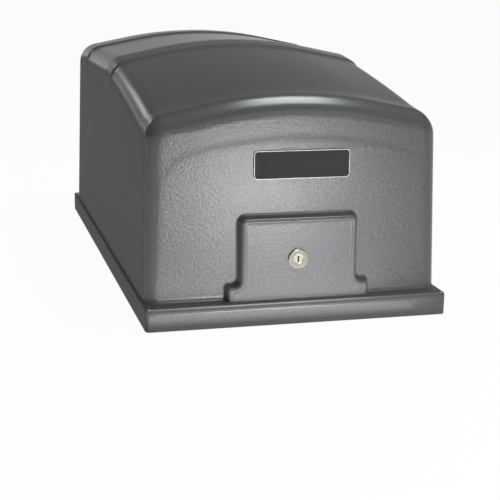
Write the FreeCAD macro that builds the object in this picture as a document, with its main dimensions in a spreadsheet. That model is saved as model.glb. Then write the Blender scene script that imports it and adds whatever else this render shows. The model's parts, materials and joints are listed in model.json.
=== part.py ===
import FreeCAD, Part
import math
import os
import re
import Sketcher
from FreeCAD import Placement, Rotation, Vector

# Swing gate operator: a moulded cover over a steel deck that carries motor, worm reducer and controls.
# Millimetres. The origin is under the middle of the cover's rim, the lock faces -Y and +Z is up.

SIZES = {
    # moulded cover
    "cover_width": 406,
    "cover_depth": 762,
    "cover_wall": 4,
    "rim_height": 30,
    "rim_corner": 15,
    "rim_bevel": 3.5,
    "side_ledge": 6.7,
    "end_ledge": 27.7,
    "side_lean": 0.0227,
    "end_lean": 0.0415,
    "wall_corner": 21,
    "inside_bevel": 13,
    "shoulder_round": 28,
    "front_brow_height": 295,
    "rear_brow_height": 328,
    "brow_depth": 90,
    "brow_lap": 20,
    "brow_inset": 0.2,
    "crown_radius": 530,
    "hood_front_height": 286,
    "hood_peak_height": 333,
    "hood_rear_height": 325.5,
    "peak_setback": 385,
    "rib_width": 50,
    "rib_proud": 2.5,
    "rib_flare": 0.05,
    "rib_fade_height": 255,
    "front_rib_setback": 360,
    "rear_rib_setback": 635,
    # raised panel round the lock
    "panel_proud": 12,
    "panel_width": 149,
    "panel_top": 134,
    "panel_foot_width": 184,
    "panel_foot_top": 46,
    "panel_bevel": 5,
    "panel_corner": 8,
    # arched field on the front face, with a bare name plate
    "field_width": 362,
    "field_top": 238,
    "field_corner": 42,
    "field_start": 120,
    "field_lean": 0.0246,
    "plate_width": 129,
    "plate_height": 37,
    "plate_thickness": 1.6,
    "plate_corner": 5,
    "plate_offset": 8,
    "plate_middle": 204,
    # cam lock
    "lock_height": 83.5,
    "lock_face": 25,
    "lock_face_thickness": 2.5,
    "lock_barrel": 19,
    "lock_length": 24,
    "plug_diameter": 12,
    "plug_gap": 0.05,
    "plug_recess": 0.4,
    "plug_tail": 3.5,
    "key_slot_width": 2,
    "key_slot_height": 8,
    "key_slot_depth": 7,
    "tongue_width": 16,
    "tongue_reach": 36,
    "tongue_thickness": 2.5,
    "keeper_thickness": 3,
    "keeper_width": 25,
    "keeper_start": 17,
    "keeper_foot": 24,
    "keeper_gap": 2,
    # rails and deck
    "rail_height": 50,
    "rail_flange": 40,
    "rail_wall": 5,
    "rail_end_gap": 27,
    "rail_web_offset": 22,
    "mount_spacing_x": 304,
    "mount_spacing_y": 500,
    "mount_hole": 13.5,
    "deck_side_gap": 1,
    "deck_end_gap": 1,
    "deck_thickness": 5,
    "deck_corner": 28,
    "conduit_hole": 28.4,
    "conduit_edge": 100,
    "conduit_setback": 114,
    "press_gap": 0.02,
    "hole_gap": 0.5,
    # worm reducer
    "output_y": 70,
    "shaft_diameter": 36,
    "stub_diameter": 35,
    "shaft_ground_gap": 8,
    "keyway_width": 10,
    "keyway_depth": 5,
    "keyway_length": 32,
    "keyway_angle": 67.5,
    "bearing_gap": 0.05,
    "step_gap": 0.2,
    "gear_module": 4,
    "wheel_teeth": 30,
    "wheel_face": 20,
    "tooth_share": 0.4,
    "tooth_flank": 20,
    "worm_pitch_radius": 18,
    "worm_height": 62,
    "worm_shaft_diameter": 25,
    "worm_shaft_end": 134,
    "worm_turns": 3,
    "wheel_gap": 2,
    "case_wall": 12,
    "case_height": 100,
    "case_floor": 20,
    "foot_width": 200,
    "foot_thickness": 12,
    "foot_front": 125,
    "foot_rear": 95,
    "output_bearing_diameter": 62,
    "lid_thickness": 18,
    "barrel_diameter": 72,
    "barrel_length": 170,
    "worm_bearing_diameter": 52,
    "worm_bearing_width": 15,
    "cap_thickness": 8,
    # limit cams and sensors
    "cam_square": 22,
    "cam_width": 40,
    "cam_reach": 42,
    "cam_thickness": 8,
    "cam_spacing": 4,
    "sensor_width": 18,
    "sensor_length": 20,
    "sensor_height": 10,
    "sensor_air": 2.5,
    "bracket_width": 60,
    "bracket_height": 34,
    "bracket_foot": 18,
    "sheet_thickness": 2.5,
    # belt drive
    "belt_x": 122,
    "belt_width": 16,
    "belt_thickness": 5,
    "belt_gap": 0.4,
    "pulley_width": 22,
    "motor_pulley_radius": 30,
    "reducer_pulley_radius": 48,
    # motor
    "motor_y": -160,
    "motor_height": 95,
    "motor_diameter": 144,
    "motor_length": 140,
    "motor_drive_end": 45,
    "rib_count": 13,
    "rib_spread": 240,
    "rib_depth": 6,
    "rib_thickness": 3,
    "bell_length": 27,
    "bell_lip": 2,
    "cowl_length": 36,
    "cowl_lip": 4,
    "vent_count": 8,
    "vent_width": 7,
    "vent_start": 20,
    "vent_end": 58,
    "vent_depth": 5,
    "motor_shaft_diameter": 16,
    "cradle_width": 130,
    "cradle_plate": 6,
    "cradle_length": 124,
    "saddle_width": 100,
    "saddle_thickness": 15,
    "saddle_height": 46,
    "capacitor_width": 34,
    "capacitor_length": 62,
    "capacitor_height": 95,
    "capacitor_edge": 18,
    "capacitor_round": 16,
    "blade_width": 6.3,
    "blade_thickness": 0.8,
    "blade_height": 11,
    "blade_spread": 12,
    # control panel
    "panel_setback": 142,
    "panel_side_gap": 26,
    "panel_sheet_height": 205,
    "panel_sheet_foot": 30,
    "panel_return": 16,
    "wire_slot_width": 120,
    "wire_slot_height": 14,
    "wire_slot_rise": 8,
    "board_width": 240,
    "board_height": 150,
    "board_thickness": 1.6,
    "board_rise": 30,
    "standoff_length": 10,
    "standoff_width": 8,
    "standoff_inset": 8,
    "terminal_length": 60,
    "terminal_depth": 12,
    "terminal_height": 14,
    "terminal_ways": 6,
    "entry_width": 6,
    "entry_height": 5,
    "entry_rise": 3,
    "entry_depth": 7,
    "relay_width": 19,
    "relay_depth": 16,
    "relay_height": 22,
    "relay_pitch": 26,
    "core_width": 90,
    "core_depth": 60,
    "core_height": 76,
    "coil_bulge": 14,
    "bobbin_plate": 3,
    "bobbin_lip": 5,
    "core_foot": 14,
    "core_foot_thickness": 4,
    "transformer_edge": 56,
    "transformer_setback": 33,
    # power box with rocker switch and reset button, and the alarm horn
    "box_edge": 22,
    "box_setback": 22,
    "box_width": 76,
    "box_depth": 80,
    "box_height": 95,
    "box_wall": 2,
    "rocker_width": 13,
    "rocker_length": 20,
    "rocker_height": 6,
    "rocker_dip": 1.4,
    "rocker_tilt": 12,
    "rocker_gap": 0.8,
    "rocker_axle": 5,
    "switch_setback": 20,
    "bezel_wall": 3,
    "bezel_height": 2.5,
    "button_width": 16,
    "button_travel": 4,
    "button_gap": 0.3,
    "horn_edge": 32,
    "horn_setback": 34,
    "horn_width": 56,
    "horn_height": 44,
    "horn_corner": 8,
    "horn_mouth": 44,
    "horn_mouth_depth": 20,
}

os.makedirs("parts", exist_ok=True)
doc = FreeCAD.newDocument("swing_gate_operator")
sheet = doc.addObject("Spreadsheet::Sheet", "sizes")
for row, (alias, value) in enumerate(SIZES.items(), start=1):
    sheet.set(f"A{row}", alias)
    sheet.set(f"B{row}", str(value))
    sheet.setAlias(f"B{row}", alias)
doc.recompute()

ALONG_X = Rotation(Vector(0, 1, 0), 90)
TO_FRONT = Rotation(Vector(1, 0, 0), 90)
nodes = []


def cells(expression):
    """An expression on size names, written so that any object of the document can read it."""
    return re.sub(r"[a-z_]+", lambda word: f"sizes.{word[0]}" if word[0] in SIZES else word[0], expression)


def size(expression):
    """The number that an expression on size names comes to."""
    return float(sheet.evalExpression(cells(expression)))


def bind(thing, **properties):
    """Ties properties of an object to expressions on size names."""
    for name, expression in properties.items():
        thing.setExpression(name, cells(expression))


def place(thing, x="0", y="0", z="0", turn=Rotation()):
    """Puts an object at a place that follows the sizes."""
    thing.Placement = Placement(Vector(size(x), size(y), size(z)), turn)
    for axis, expression in zip("xyz", (x, y, z)):
        thing.setExpression(f"Placement.Base.{axis}", cells(expression))
    return thing


def pin_down(sketch, line, end, x, y):
    """Holds one point of a sketch at a place given by two expressions."""
    for kind, axis, expression in (("DistanceX", -2, x), ("DistanceY", -1, y)):
        if expression == "0":
            sketch.addConstraint(Sketcher.Constraint("PointOnObject", line, end, axis))
        else:
            number = sketch.addConstraint(Sketcher.Constraint(kind, -1, 1, line, end, size(expression)))
            sketch.setExpression(f"Constraints[{number}]", cells(expression))


def set_radius(sketch, curve, radius):
    """Ties the radius of an arc or a circle to an expression."""
    number = sketch.addConstraint(Sketcher.Constraint("Radius", curve, size(radius)))
    sketch.setExpression(f"Constraints[{number}]", cells(radius))


def free_sketch(name, x="0", y="0", z="0", turn=Rotation()):
    """An empty sketch that stands by itself."""
    return place(doc.addObject("Sketcher::SketchObject", name), x, y, z, turn)


def polygon(sketch, points):
    """A closed outline of straight lines, each corner given by two expressions."""
    spots = [Vector(size(x), size(y), 0) for x, y in points]
    lines = [sketch.addGeometry(Part.LineSegment(a, b)) for a, b in zip(spots, spots[1:] + spots[:1])]
    for line, following, (x, y) in zip(lines, lines[1:] + lines[:1], points):
        sketch.addConstraint(Sketcher.Constraint("Coincident", line, 2, following, 1))
        pin_down(sketch, line, 1, x, y)
    return sketch


def rounded_rectangle(sketch, half_x, half_y, radius):
    """A rectangle about the sketch's origin with four equal round corners."""
    across, along, bend = size(half_x), size(half_y), size(radius)
    corners = [(1, -1, -0.5), (1, 1, 0), (-1, 1, 0.5), (-1, -1, 1)]
    arcs = []
    for side_x, side_y, start in corners:
        centre = Vector(side_x * (across - bend), side_y * (along - bend), 0)
        round_part = Part.Circle(centre, Vector(0, 0, 1), bend)
        begin = start * math.pi
        arcs.append(sketch.addGeometry(Part.ArcOfCircle(round_part, begin, begin + math.pi / 2)))
    sides = []
    for this, following in zip(arcs, arcs[1:] + arcs[:1]):
        line = Part.LineSegment(sketch.Geometry[this].EndPoint, sketch.Geometry[following].StartPoint)
        sides.append(sketch.addGeometry(line))
    for this, following, line in zip(arcs, arcs[1:] + arcs[:1], sides):
        sketch.addConstraint(Sketcher.Constraint("Tangent", this, 2, line, 1))
        sketch.addConstraint(Sketcher.Constraint("Tangent", line, 2, following, 1))
    for number, line in enumerate(sides):
        sketch.addConstraint(Sketcher.Constraint("Vertical" if number % 2 == 0 else "Horizontal", line))
    for arc in arcs[1:]:
        sketch.addConstraint(Sketcher.Constraint("Equal", arcs[0], arc))
    set_radius(sketch, arcs[0], radius)
    for line, kind, expression in zip(
        sides,
        ("DistanceX", "DistanceY", "DistanceX", "DistanceY"),
        (half_x, half_y, f"-({half_x})", f"-({half_y})"),
    ):
        number = sketch.addConstraint(Sketcher.Constraint(kind, -1, 1, line, 1, size(expression)))
        sketch.setExpression(f"Constraints[{number}]", cells(expression))
    return sketch


def extrude(name, sketch, length, taper="0"):
    """A solid drawn out of a sketch, square to it."""
    solid = doc.addObject("Part::Extrusion", name)
    solid.Base = sketch
    solid.DirMode = "Normal"
    solid.Solid = True
    bind(solid, LengthFwd=length, TaperAngle=taper)
    return solid


def fuse(name, *pieces):
    """Pieces joined to one solid."""
    joined = doc.addObject("Part::MultiFuse", name)
    joined.Shapes = list(pieces)
    joined.Refine = True
    return joined


def common(name, *pieces):
    """What all the pieces share."""
    shared = doc.addObject("Part::MultiCommon", name)
    shared.Shapes = list(pieces)
    return shared


def cut(name, base, *tools):
    """A piece with one or more others taken out of it."""
    remains = base
    for number, tool in enumerate(tools, start=1):
        taken = doc.addObject("Part::Cut", name if number == len(tools) else f"{name}_{number}")
        taken.Base = remains
        taken.Tool = tool
        remains = taken
    return remains


def round_edges(name, base, radius, chosen, kind="Part::Fillet"):
    """A piece with the chosen edges rounded, or bevelled where the kind says so."""
    doc.recompute()
    amount = size(radius)
    rounded = doc.addObject(kind, name)
    rounded.Base = base
    numbered = enumerate(base.Shape.Edges, start=1)
    rounded.Edges = [(number, amount, amount) for number, edge in numbered if chosen(edge)]
    return rounded


def box(name, x, y, z):
    """A block between two places on each axis."""
    block = doc.addObject("Part::Box", name)
    bind(block, Length=f"({x[1]}) - ({x[0]})", Width=f"({y[1]}) - ({y[0]})", Height=f"({z[1]}) - ({z[0]})")
    return place(block, x[0], y[0], z[0])


def about(middle, half):
    """The places at equal distances on both sides of a middle."""
    return f"{middle} - {half}", f"{middle} + {half}"


def rod(name, diameter, length, x="0", y="0", z="0", turn=Rotation()):
    """A round bar from a place onwards."""
    bar = doc.addObject("Part::Cylinder", name)
    bind(bar, Radius=f"({diameter}) / 2", Height=length)
    return place(bar, x, y, z, turn)


def turned(name, profile, x="0", y="0", z="0", turn=Rotation()):
    """A piece turned on a lathe: its profile is given by radius and distance along the axis."""
    solid = doc.addObject("Part::Revolution", name)
    solid.Source = polygon(free_sketch(f"{name}_profile", turn=TO_FRONT), profile)
    solid.Axis = Vector(0, 0, 1)
    solid.Angle = 360
    solid.Solid = True
    return place(solid, x, y, z, turn)


def tube(name, outer, inner, length, x="0", y="0", z="0", turn=Rotation()):
    """A ring or sleeve, by its diameters."""
    inside, outside = f"({inner}) / 2", f"({outer}) / 2"
    profile = [(inside, "0"), (outside, "0"), (outside, length), (inside, length)]
    return turned(name, profile, x, y, z, turn)


def group(name, pieces):
    """Separate solids kept together."""
    several = doc.addObject("Part::Compound", name)
    several.Links = list(pieces)
    return several


def node(thing, label):
    """Names a finished sub-part."""
    thing.Label = label
    nodes.append(thing)
    return thing


# Moulded cover: one shell. Each length of the hood is drawn out along its own slope, from the rear
# to the front, so that its walls are flat, its crown is part of a cylinder and its rounds run true.

PEAK_Y = "(peak_setback - cover_depth / 2)"
FRONT_FALL = "((hood_peak_height - hood_front_height) / peak_setback)"
REAR_RISE = "((hood_peak_height - hood_rear_height) / (cover_depth - peak_setback))"
END_Y = "(cover_depth / 2 - end_ledge + end_lean * rim_height)"


def hood_height(y, fall):
    """The height of the hood's middle line at a place along the depth."""
    return f"(hood_peak_height + {fall} * ({y} - {PEAK_Y}))"


def along_hood(edge):
    return len(edge.Vertexes) == 2 and abs(edge.tangentAt(edge.FirstParameter).y) > 0.9


def hood_length(name, y, z, fall, length, top, inset, flare="0"):
    """A length of the hood that runs forward from y and z, falling by a slope, with round shoulders."""
    half_wall = f"cover_width / 2 - side_ledge + side_lean * rim_height - {inset}"
    half_foot = f"({half_wall} - {flare} * rib_fade_height)"
    half_head = f"({half_foot} - (side_lean - {flare}) * ({top}))"
    turn = Rotation(Vector(1, 0, 0), 90)
    sketch = free_sketch(f"{name}_profile", y=y, z=z, turn=turn)
    polygon(sketch, [(f"-{half_foot}", "0"), (half_foot, "0"), (half_head, top), (f"-{half_head}", top)])
    slab = extrude(f"{name}_slab", sketch, length)
    log = doc.addObject("Part::Cylinder", f"{name}_crown")
    bind(log, Radius=f"crown_radius - {inset}", Height=length)
    rise = f"({top} - (crown_radius - {inset}))"
    place(log, y=f"{y} - {rise} * sin(atan({fall}))", z=f"{z} + {rise} * cos(atan({fall}))", turn=turn)
    for piece in (sketch, log):
        piece.setExpression("Placement.Rotation.Angle", cells(f"90 deg + atan({fall})"))
    block = common(f"{name}_block", slab, log)
    waist = size("hood_front_height / 2")
    return round_edges(
        f"{name}_shoulders",
        block,
        f"shoulder_round - {inset}",
        lambda edge: along_hood(edge) and edge.BoundBox.ZMin > waist,
    )


def end_brow(name, end, inset):
    """An end of the hood: a short length square to the leaning end wall, round all about its face."""
    tilt = "-end_lean" if end == "front" else "end_lean"
    base = f"({END_Y} - {inset})"
    y = f"-{base} + brow_depth * cos(atan(end_lean))" if end == "front" else base
    z = "-brow_depth * sin(atan(end_lean))" if end == "front" else "0"
    height = "front_brow_height" if end == "front" else "rear_brow_height"
    top = f"({height} - {inset})"
    block = hood_length(name, y, z, f"({tilt})", "brow_depth", top, f"({inset} + brow_inset)")
    face = size(base)
    lean = size("end_lean")
    side = -1 if end == "front" else 1
    low = size("rim_height / 2")

    def round_the_face(edge):
        on_face = all(abs(side * v.Y + lean * v.Z - face) < 0.05 for v in edge.Vertexes)
        return on_face and edge.BoundBox.ZMax > low

    if inset == "0":
        return round_edges(name, block, "wall_corner", round_the_face)
    return round_edges(name, block, "inside_bevel", round_the_face, "Part::Chamfer")


def hood(name, inset):
    """The front slope, the rear slope and both ends. The slopes lap under the hoop and into the ends."""
    lap = "(rib_width / 4)"
    front_tip = f"({END_Y} - end_lean * hood_front_height - brow_lap)"
    rear_tip = f"({END_Y} - end_lean * hood_rear_height - brow_lap)"
    rise = f"(-{REAR_RISE})"
    front_start = f"({PEAK_Y} + {lap} + {FRONT_FALL} * hood_peak_height)"
    front_length = f"({PEAK_Y} + {lap} + {front_tip}) / cos(atan({FRONT_FALL}))"
    front_top = f"({hood_height(front_start, FRONT_FALL)} * cos(atan({FRONT_FALL})) - {inset})"
    rear_start = f"({rear_tip} - {REAR_RISE} * hood_rear_height)"
    rear_length = f"({rear_tip} - {PEAK_Y} + {lap})"
    rear_top = f"({hood_height(rear_start, rise)} * cos(atan({REAR_RISE})) - {inset})"
    pieces = [
        hood_length(f"{name}_front", front_start, "0", FRONT_FALL, front_length, front_top, inset),
        hood_length(f"{name}_rear", rear_start, "0", rise, rear_length, rear_top, inset),
        end_brow(f"{name}_front_brow", "front", inset),
        end_brow(f"{name}_rear_brow", "rear", inset),
    ]
    ground = doc.addObject("Part::Box", f"{name}_ground")
    bind(ground, Length="cover_width", Width="cover_depth", Height="hood_peak_height + 2 * rib_proud")
    place(ground, x="-cover_width / 2", y="-cover_depth / 2")
    return [common(f"{piece.Name}_above", piece, ground) for piece in pieces]


def hoop(name, setback):
    """A low level rib over the hood that fades out down the walls."""
    middle = f"({setback} + rib_width / 2 - cover_depth / 2)"
    fall = FRONT_FALL if size(middle) < size(PEAK_Y) else f"(-{REAR_RISE})"
    top = f"({hood_height(middle, fall)} + rib_proud)"
    end = f"({setback} + rib_width - cover_depth / 2)"
    return hood_length(name, end, "0", "0", "rib_width", top, "0", "rib_flare")


def rim_block(name, inset):
    """The rim that the cover stands on."""
    sketch = rounded_rectangle(
        free_sketch(f"{name}_outline"),
        f"cover_width / 2 - {inset}",
        f"cover_depth / 2 - {inset}",
        f"rim_corner - {inset}",
    )
    return extrude(name, sketch, f"rim_height - {inset}")


def lock_panel(name, inset):
    """The raised panel with a wider foot that the lock sits in, drawn from its face back into the wall."""
    face = f"-(cover_depth / 2 - end_ledge + panel_proud - {inset})"
    sketch = free_sketch(f"{name}_face", y=face, turn=TO_FRONT)
    spread = "panel_bevel" if inset == "0" else "0"
    narrow = f"(panel_width / 2 + {spread} - {inset})"
    wide = f"(panel_foot_width / 2 + {spread} - {inset})"
    shoulder = f"(panel_foot_top + {spread} - {inset})"
    head = f"(panel_top + {spread} - {inset})"
    foot = f"(rim_height / 2 - {inset})"
    polygon(
        sketch,
        [
            (f"-{wide}", foot),
            (wide, foot),
            (wide, shoulder),
            (narrow, shoulder),
            (narrow, head),
            (f"-{narrow}", head),
            (f"-{narrow}", shoulder),
            (f"-{wide}", shoulder),
        ],
    )
    block = extrude(f"{name}_block", sketch, "panel_proud + 3 * cover_wall")
    block.Reversed = True
    if inset != "0":
        return block
    low = size(foot)
    front = size(face)
    upright = round_edges(
        f"{name}_corners",
        block,
        "panel_corner",
        lambda edge: edge.BoundBox.YLength > 1 and edge.BoundBox.ZMin > low + 1,
    )
    return round_edges(
        name,
        upright,
        "panel_bevel",
        lambda edge: edge.BoundBox.YMax < front + 0.01,
        "Part::Chamfer",
    )


def arched_field(name):
    """The front face's arched field, which comes out of the wall above its start and leans less than it."""
    angle = math.degrees(math.atan(size("field_lean")))
    lean_back = Rotation(Vector(1, 0, 0), 90 - angle)
    face_y = f"-({END_Y} - end_lean * field_start)"
    sketch = free_sketch(f"{name}_face", y=face_y, z="field_start", turn=lean_back)
    half, bend, crown = size("field_width / 2"), size("field_corner"), size("crown_radius")
    head = size("field_top - field_start")
    # the corner arcs touch the sides and run smoothly into the crown
    reach = math.asin((half - bend) / (crown - bend))
    corner_y = head - crown + (crown - bend) * math.cos(reach)
    up = math.pi / 2

    def arc(x, y, radius, begin, finish):
        whole = Part.Circle(Vector(x, y, 0), Vector(0, 0, 1), radius)
        return sketch.addGeometry(Part.ArcOfCircle(whole, begin, finish))

    def line(start, finish):
        return sketch.addGeometry(Part.LineSegment(Vector(*start, 0), Vector(*finish, 0)))

    right = arc(half - bend, corner_y, bend, 0, up - reach)
    top = arc(0, head - crown, crown, up - reach, up + reach)
    left = arc(bend - half, corner_y, bend, up + reach, math.pi)
    foot = -size("field_start - rim_height")
    falling = line((-half, corner_y), (-half, foot))
    ground = line((-half, foot), (half, foot))
    rising = line((half, foot), (half, corner_y))
    for first, second in ((right, top), (top, left), (left, falling), (rising, right)):
        sketch.addConstraint(Sketcher.Constraint("Tangent", first, 2, second, 1))
    for first, second in ((falling, ground), (ground, rising)):
        sketch.addConstraint(Sketcher.Constraint("Coincident", first, 2, second, 1))
    sketch.addConstraint(Sketcher.Constraint("Vertical", falling))
    sketch.addConstraint(Sketcher.Constraint("Vertical", rising))
    pin_down(sketch, ground, 1, "-field_width / 2", "rim_height - field_start")
    pin_down(sketch, ground, 2, "field_width / 2", "rim_height - field_start")
    pin_down(sketch, top, 3, "0", "field_top - field_start - crown_radius")
    set_radius(sketch, top, "crown_radius")
    set_radius(sketch, right, "field_corner")
    set_radius(sketch, left, "field_corner")
    plate = extrude(f"{name}_plate", sketch, "3 * cover_wall")
    plate.Reversed = True
    return plate


rim_level = size("rim_height")
rim = round_edges(
    "rim",
    rim_block("rim_block", "0"),
    "rim_bevel",
    lambda edge: edge.BoundBox.ZMin > rim_level - 0.01,
    "Part::Chamfer",
)
outside = fuse(
    "cover_outside",
    *hood("hood", "0"),
    hoop("front_hoop", "front_rib_setback"),
    hoop("rear_hoop", "rear_rib_setback"),
    rim,
    lock_panel("lock_panel", "0"),
    arched_field("arched_field"),
)
inside = fuse(
    "cover_inside",
    *hood("hollow", "cover_wall"),
    rim_block("rim_inside", "cover_wall"),
    lock_panel("panel_inside", "cover_wall"),
)
LOCK_FACE_Y = "(-(cover_depth / 2 - end_ledge + panel_proud))"
lock_hole = rod(
    "lock_hole",
    "lock_barrel + 2 * hole_gap",
    "3 * cover_wall",
    y=f"{LOCK_FACE_Y} + 2 * cover_wall",
    z="lock_height",
    turn=TO_FRONT,
)
node(cut("cover", outside, inside, lock_hole), "cover_shell")

# Bare name plate: it lies on the arched field and leans with it.


def name_plate():
    lean_back = Rotation(Vector(1, 0, 0), 90 - math.degrees(math.atan(size("field_lean"))))
    face_y = f"(-({END_Y} - end_lean * field_start) + field_lean * (plate_middle - field_start) - press_gap)"
    sketch = free_sketch("plate_outline", x="plate_offset", y=face_y, z="plate_middle", turn=lean_back)
    rounded_rectangle(sketch, "plate_width / 2", "plate_height / 2", "plate_corner")
    return extrude("name_plate", sketch, "plate_thickness")


node(name_plate(), "name_plate")

# Cam lock in the raised panel. Its parts are turned about a line along Y, from the panel's face inward.

TO_REAR = Rotation(Vector(1, 0, 0), -90)


def lock_part(name, profile):
    return turned(name, profile, y=LOCK_FACE_Y, z="lock_height", turn=TO_REAR)


BORE = "plug_diameter / 2"
PLUG = "plug_diameter / 2 - plug_gap"
body = lock_part(
    "lock_body",
    [
        (BORE, "-lock_face_thickness"),
        ("lock_face / 2", "-lock_face_thickness"),
        ("lock_face / 2", "0"),
        ("lock_barrel / 2", "0"),
        ("lock_barrel / 2", "lock_length"),
        (BORE, "lock_length"),
    ],
)
node(body, "lock_body")

TAIL = "(lock_length + step_gap)"
TONGUE_Y = f"({LOCK_FACE_Y} + {TAIL})"
barrel = lock_part(
    "plug_barrel",
    [
        ("0", "plug_recess - lock_face_thickness"),
        (PLUG, "plug_recess - lock_face_thickness"),
        (PLUG, TAIL),
        ("0", TAIL),
    ],
)


def square_bar(name, half, y):
    """A square bar on the lock's axis."""
    return box(name, (f"-{half}", half), y, (f"lock_height - {half}", f"lock_height + {half}"))


tail = square_bar("plug_square", "plug_tail", (TONGUE_Y, f"{TONGUE_Y} + 2 * tongue_thickness"))
key_slot = box(
    "key_slot",
    ("-key_slot_width / 2", "key_slot_width / 2"),
    (f"{LOCK_FACE_Y} - lock_face_thickness", f"{LOCK_FACE_Y} - lock_face_thickness + key_slot_depth"),
    ("lock_height - key_slot_height / 2", "lock_height + key_slot_height / 2"),
)
node(cut("plug", fuse("plug_blank", barrel, tail), key_slot), "lock_plug")

TONGUE_BACK = f"({TONGUE_Y} + tongue_thickness)"
strip = box(
    "tongue_strip",
    ("-tongue_width / 2", "tongue_width / 2"),
    (TONGUE_Y, TONGUE_BACK),
    ("lock_height - tongue_reach", "lock_height + tongue_width / 2"),
)
eye = square_bar("tongue_eye", "(plug_tail + press_gap)", (TONGUE_Y, TONGUE_BACK))
node(cut("tongue", strip, eye), "lock_tongue")

# Rails and deck: two channel rails that bolt to the stand, and the plate that carries everything.

DECK_TOP = "(rail_height + deck_thickness)"
WALL_SIDE = "(cover_width / 2 - side_ledge + side_lean * rim_height)"
DECK_SIDE = f"({WALL_SIDE} - side_lean * {DECK_TOP} - cover_wall - deck_side_gap)"
DECK_END = f"({END_Y} - end_lean * {DECK_TOP} - cover_wall - deck_end_gap)"
RAIL_END = f"({DECK_END} - rail_end_gap)"
TAB_BACK = f"({TONGUE_BACK} + 2 * plug_tail)"
RAIL_WEB = "(mount_spacing_x / 2 - rail_web_offset)"
SIDES = ("left", "-"), ("right", "")


def rail(name, sign):
    """A channel with its web inboard, drilled for the stand below."""
    inner, outer = RAIL_WEB, f"({RAIL_WEB} + rail_flange)"
    web = f"({RAIL_WEB} + rail_wall)"
    profile = [
        (inner, "0"),
        (outer, "0"),
        (outer, "rail_wall"),
        (web, "rail_wall"),
        (web, "rail_height - rail_wall"),
        (outer, "rail_height - rail_wall"),
        (outer, "rail_height"),
        (inner, "rail_height"),
    ]
    sketch = free_sketch(f"{name}_profile", y=RAIL_END, turn=TO_FRONT)
    polygon(sketch, [(f"{sign}{x}", z) for x, z in profile])
    bar = extrude(f"{name}_bar", sketch, f"2 * {RAIL_END}")
    x = f"{sign}mount_spacing_x / 2"
    holes = [
        rod(f"{name}_mount_{end}", "mount_hole", "rail_wall", x, f"{way}mount_spacing_y / 2")
        for end, way in (("front", "-"), ("rear", ""))
    ]
    return cut(name, bar, group(f"{name}_holes", holes))


for side, sign in SIDES:
    node(rail(f"{side}_channel", sign), f"{side}_rail")

deck_outline = free_sketch("deck_outline", z="rail_height")
rounded_rectangle(deck_outline, DECK_SIDE, DECK_END, "deck_corner")
deck = extrude("deck_blank", deck_outline, "deck_thickness")
deck_holes = [
    rod("deck_shaft_hole", "output_bearing_diameter", "deck_thickness", "0", "output_y", "rail_height"),
    rod(
        "deck_conduit_hole",
        "conduit_hole",
        "deck_thickness",
        f"conduit_edge - {DECK_SIDE}",
        f"conduit_setback - {DECK_END}",
        "rail_height",
    ),
    box(
        "deck_tongue_notch",
        about("0", "(tongue_reach + keeper_gap)"),
        (f"-{DECK_END}", TAB_BACK),
        ("rail_height", DECK_TOP),
    ),
]
node(cut("deck", deck, group("deck_holes", deck_holes)), "deck_plate")

# Keeper on the deck: its tab lies over the turned tongue and holds the cover down.

KEEPER_X = ("keeper_start", "keeper_start + keeper_width")
TAB_LOW = "(lock_height + tongue_width / 2 + keeper_gap)"
TAB_TOP = f"({TAB_LOW} + keeper_thickness)"
keeper = fuse(
    "keeper",
    box(
        "keeper_base",
        KEEPER_X,
        (TAB_BACK, f"{TAB_BACK} + keeper_foot"),
        (DECK_TOP, f"{DECK_TOP} + keeper_thickness"),
    ),
    box("keeper_upright", KEEPER_X, (TAB_BACK, f"{TAB_BACK} + keeper_thickness"), (DECK_TOP, TAB_TOP)),
    box("keeper_tab", KEEPER_X, (f"{TONGUE_Y} - tongue_thickness", TAB_BACK), (TAB_LOW, TAB_TOP)),
)
node(keeper, "lock_keeper")

# Worm reducer: a cast case on the deck with an upright output shaft and a level worm in front of it.

WHEEL_PITCH = "(gear_module * wheel_teeth / 2)"
WHEEL_TIP = f"({WHEEL_PITCH} + gear_module)"
WHEEL_ROOT = f"({WHEEL_PITCH} - 1.25 * gear_module)"
WORM_TIP = "(worm_pitch_radius + gear_module)"
WORM_ROOT = "(worm_pitch_radius - 1.25 * gear_module)"
WORM_Y = f"(output_y - {WHEEL_PITCH} - worm_pitch_radius)"
WORM_Z = f"({DECK_TOP} + worm_height)"
CHAMBER = f"(2 * ({WHEEL_TIP} + wheel_gap))"
CASE = f"({CHAMBER} + 2 * case_wall)"
CASE_TOP = f"({DECK_TOP} + case_height)"
FLOOR_TOP = f"({DECK_TOP} + case_floor)"
LID_TOP = f"({CASE_TOP} + lid_thickness)"
BARREL_END = "(barrel_length / 2)"

BARREL_AXIS = f"-{BARREL_END}", WORM_Y, WORM_Z, ALONG_X
case = fuse(
    "case_blank",
    box("case_block", about("0", f"{CASE} / 2"), (WORM_Y, f"output_y + {CASE} / 2"), (DECK_TOP, CASE_TOP)),
    rod("case_barrel", "barrel_diameter", "barrel_length", *BARREL_AXIS),
    box(
        "case_foot",
        about("0", "foot_width / 2"),
        ("output_y - foot_front", "output_y + foot_rear"),
        (DECK_TOP, f"{DECK_TOP} + foot_thickness"),
    ),
)
case_hollows = [
    rod("case_chamber", CHAMBER, "case_height - case_floor", "0", "output_y", FLOOR_TOP),
    rod("case_bearing_seat", "output_bearing_diameter", "case_floor", "0", "output_y", DECK_TOP),
    rod("case_worm_bore", "worm_bearing_diameter", "barrel_length", *BARREL_AXIS),
]
node(cut("case", case, *case_hollows), "reducer_housing")

lid_plate = box("lid_plate", about("0", f"{CASE} / 2"), about("output_y", f"{CASE} / 2"), (CASE_TOP, LID_TOP))
lid_seat = rod("lid_seat", "output_bearing_diameter", "lid_thickness", "0", "output_y", CASE_TOP)
node(cut("lid", lid_plate, lid_seat), "reducer_top_cover")


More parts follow.
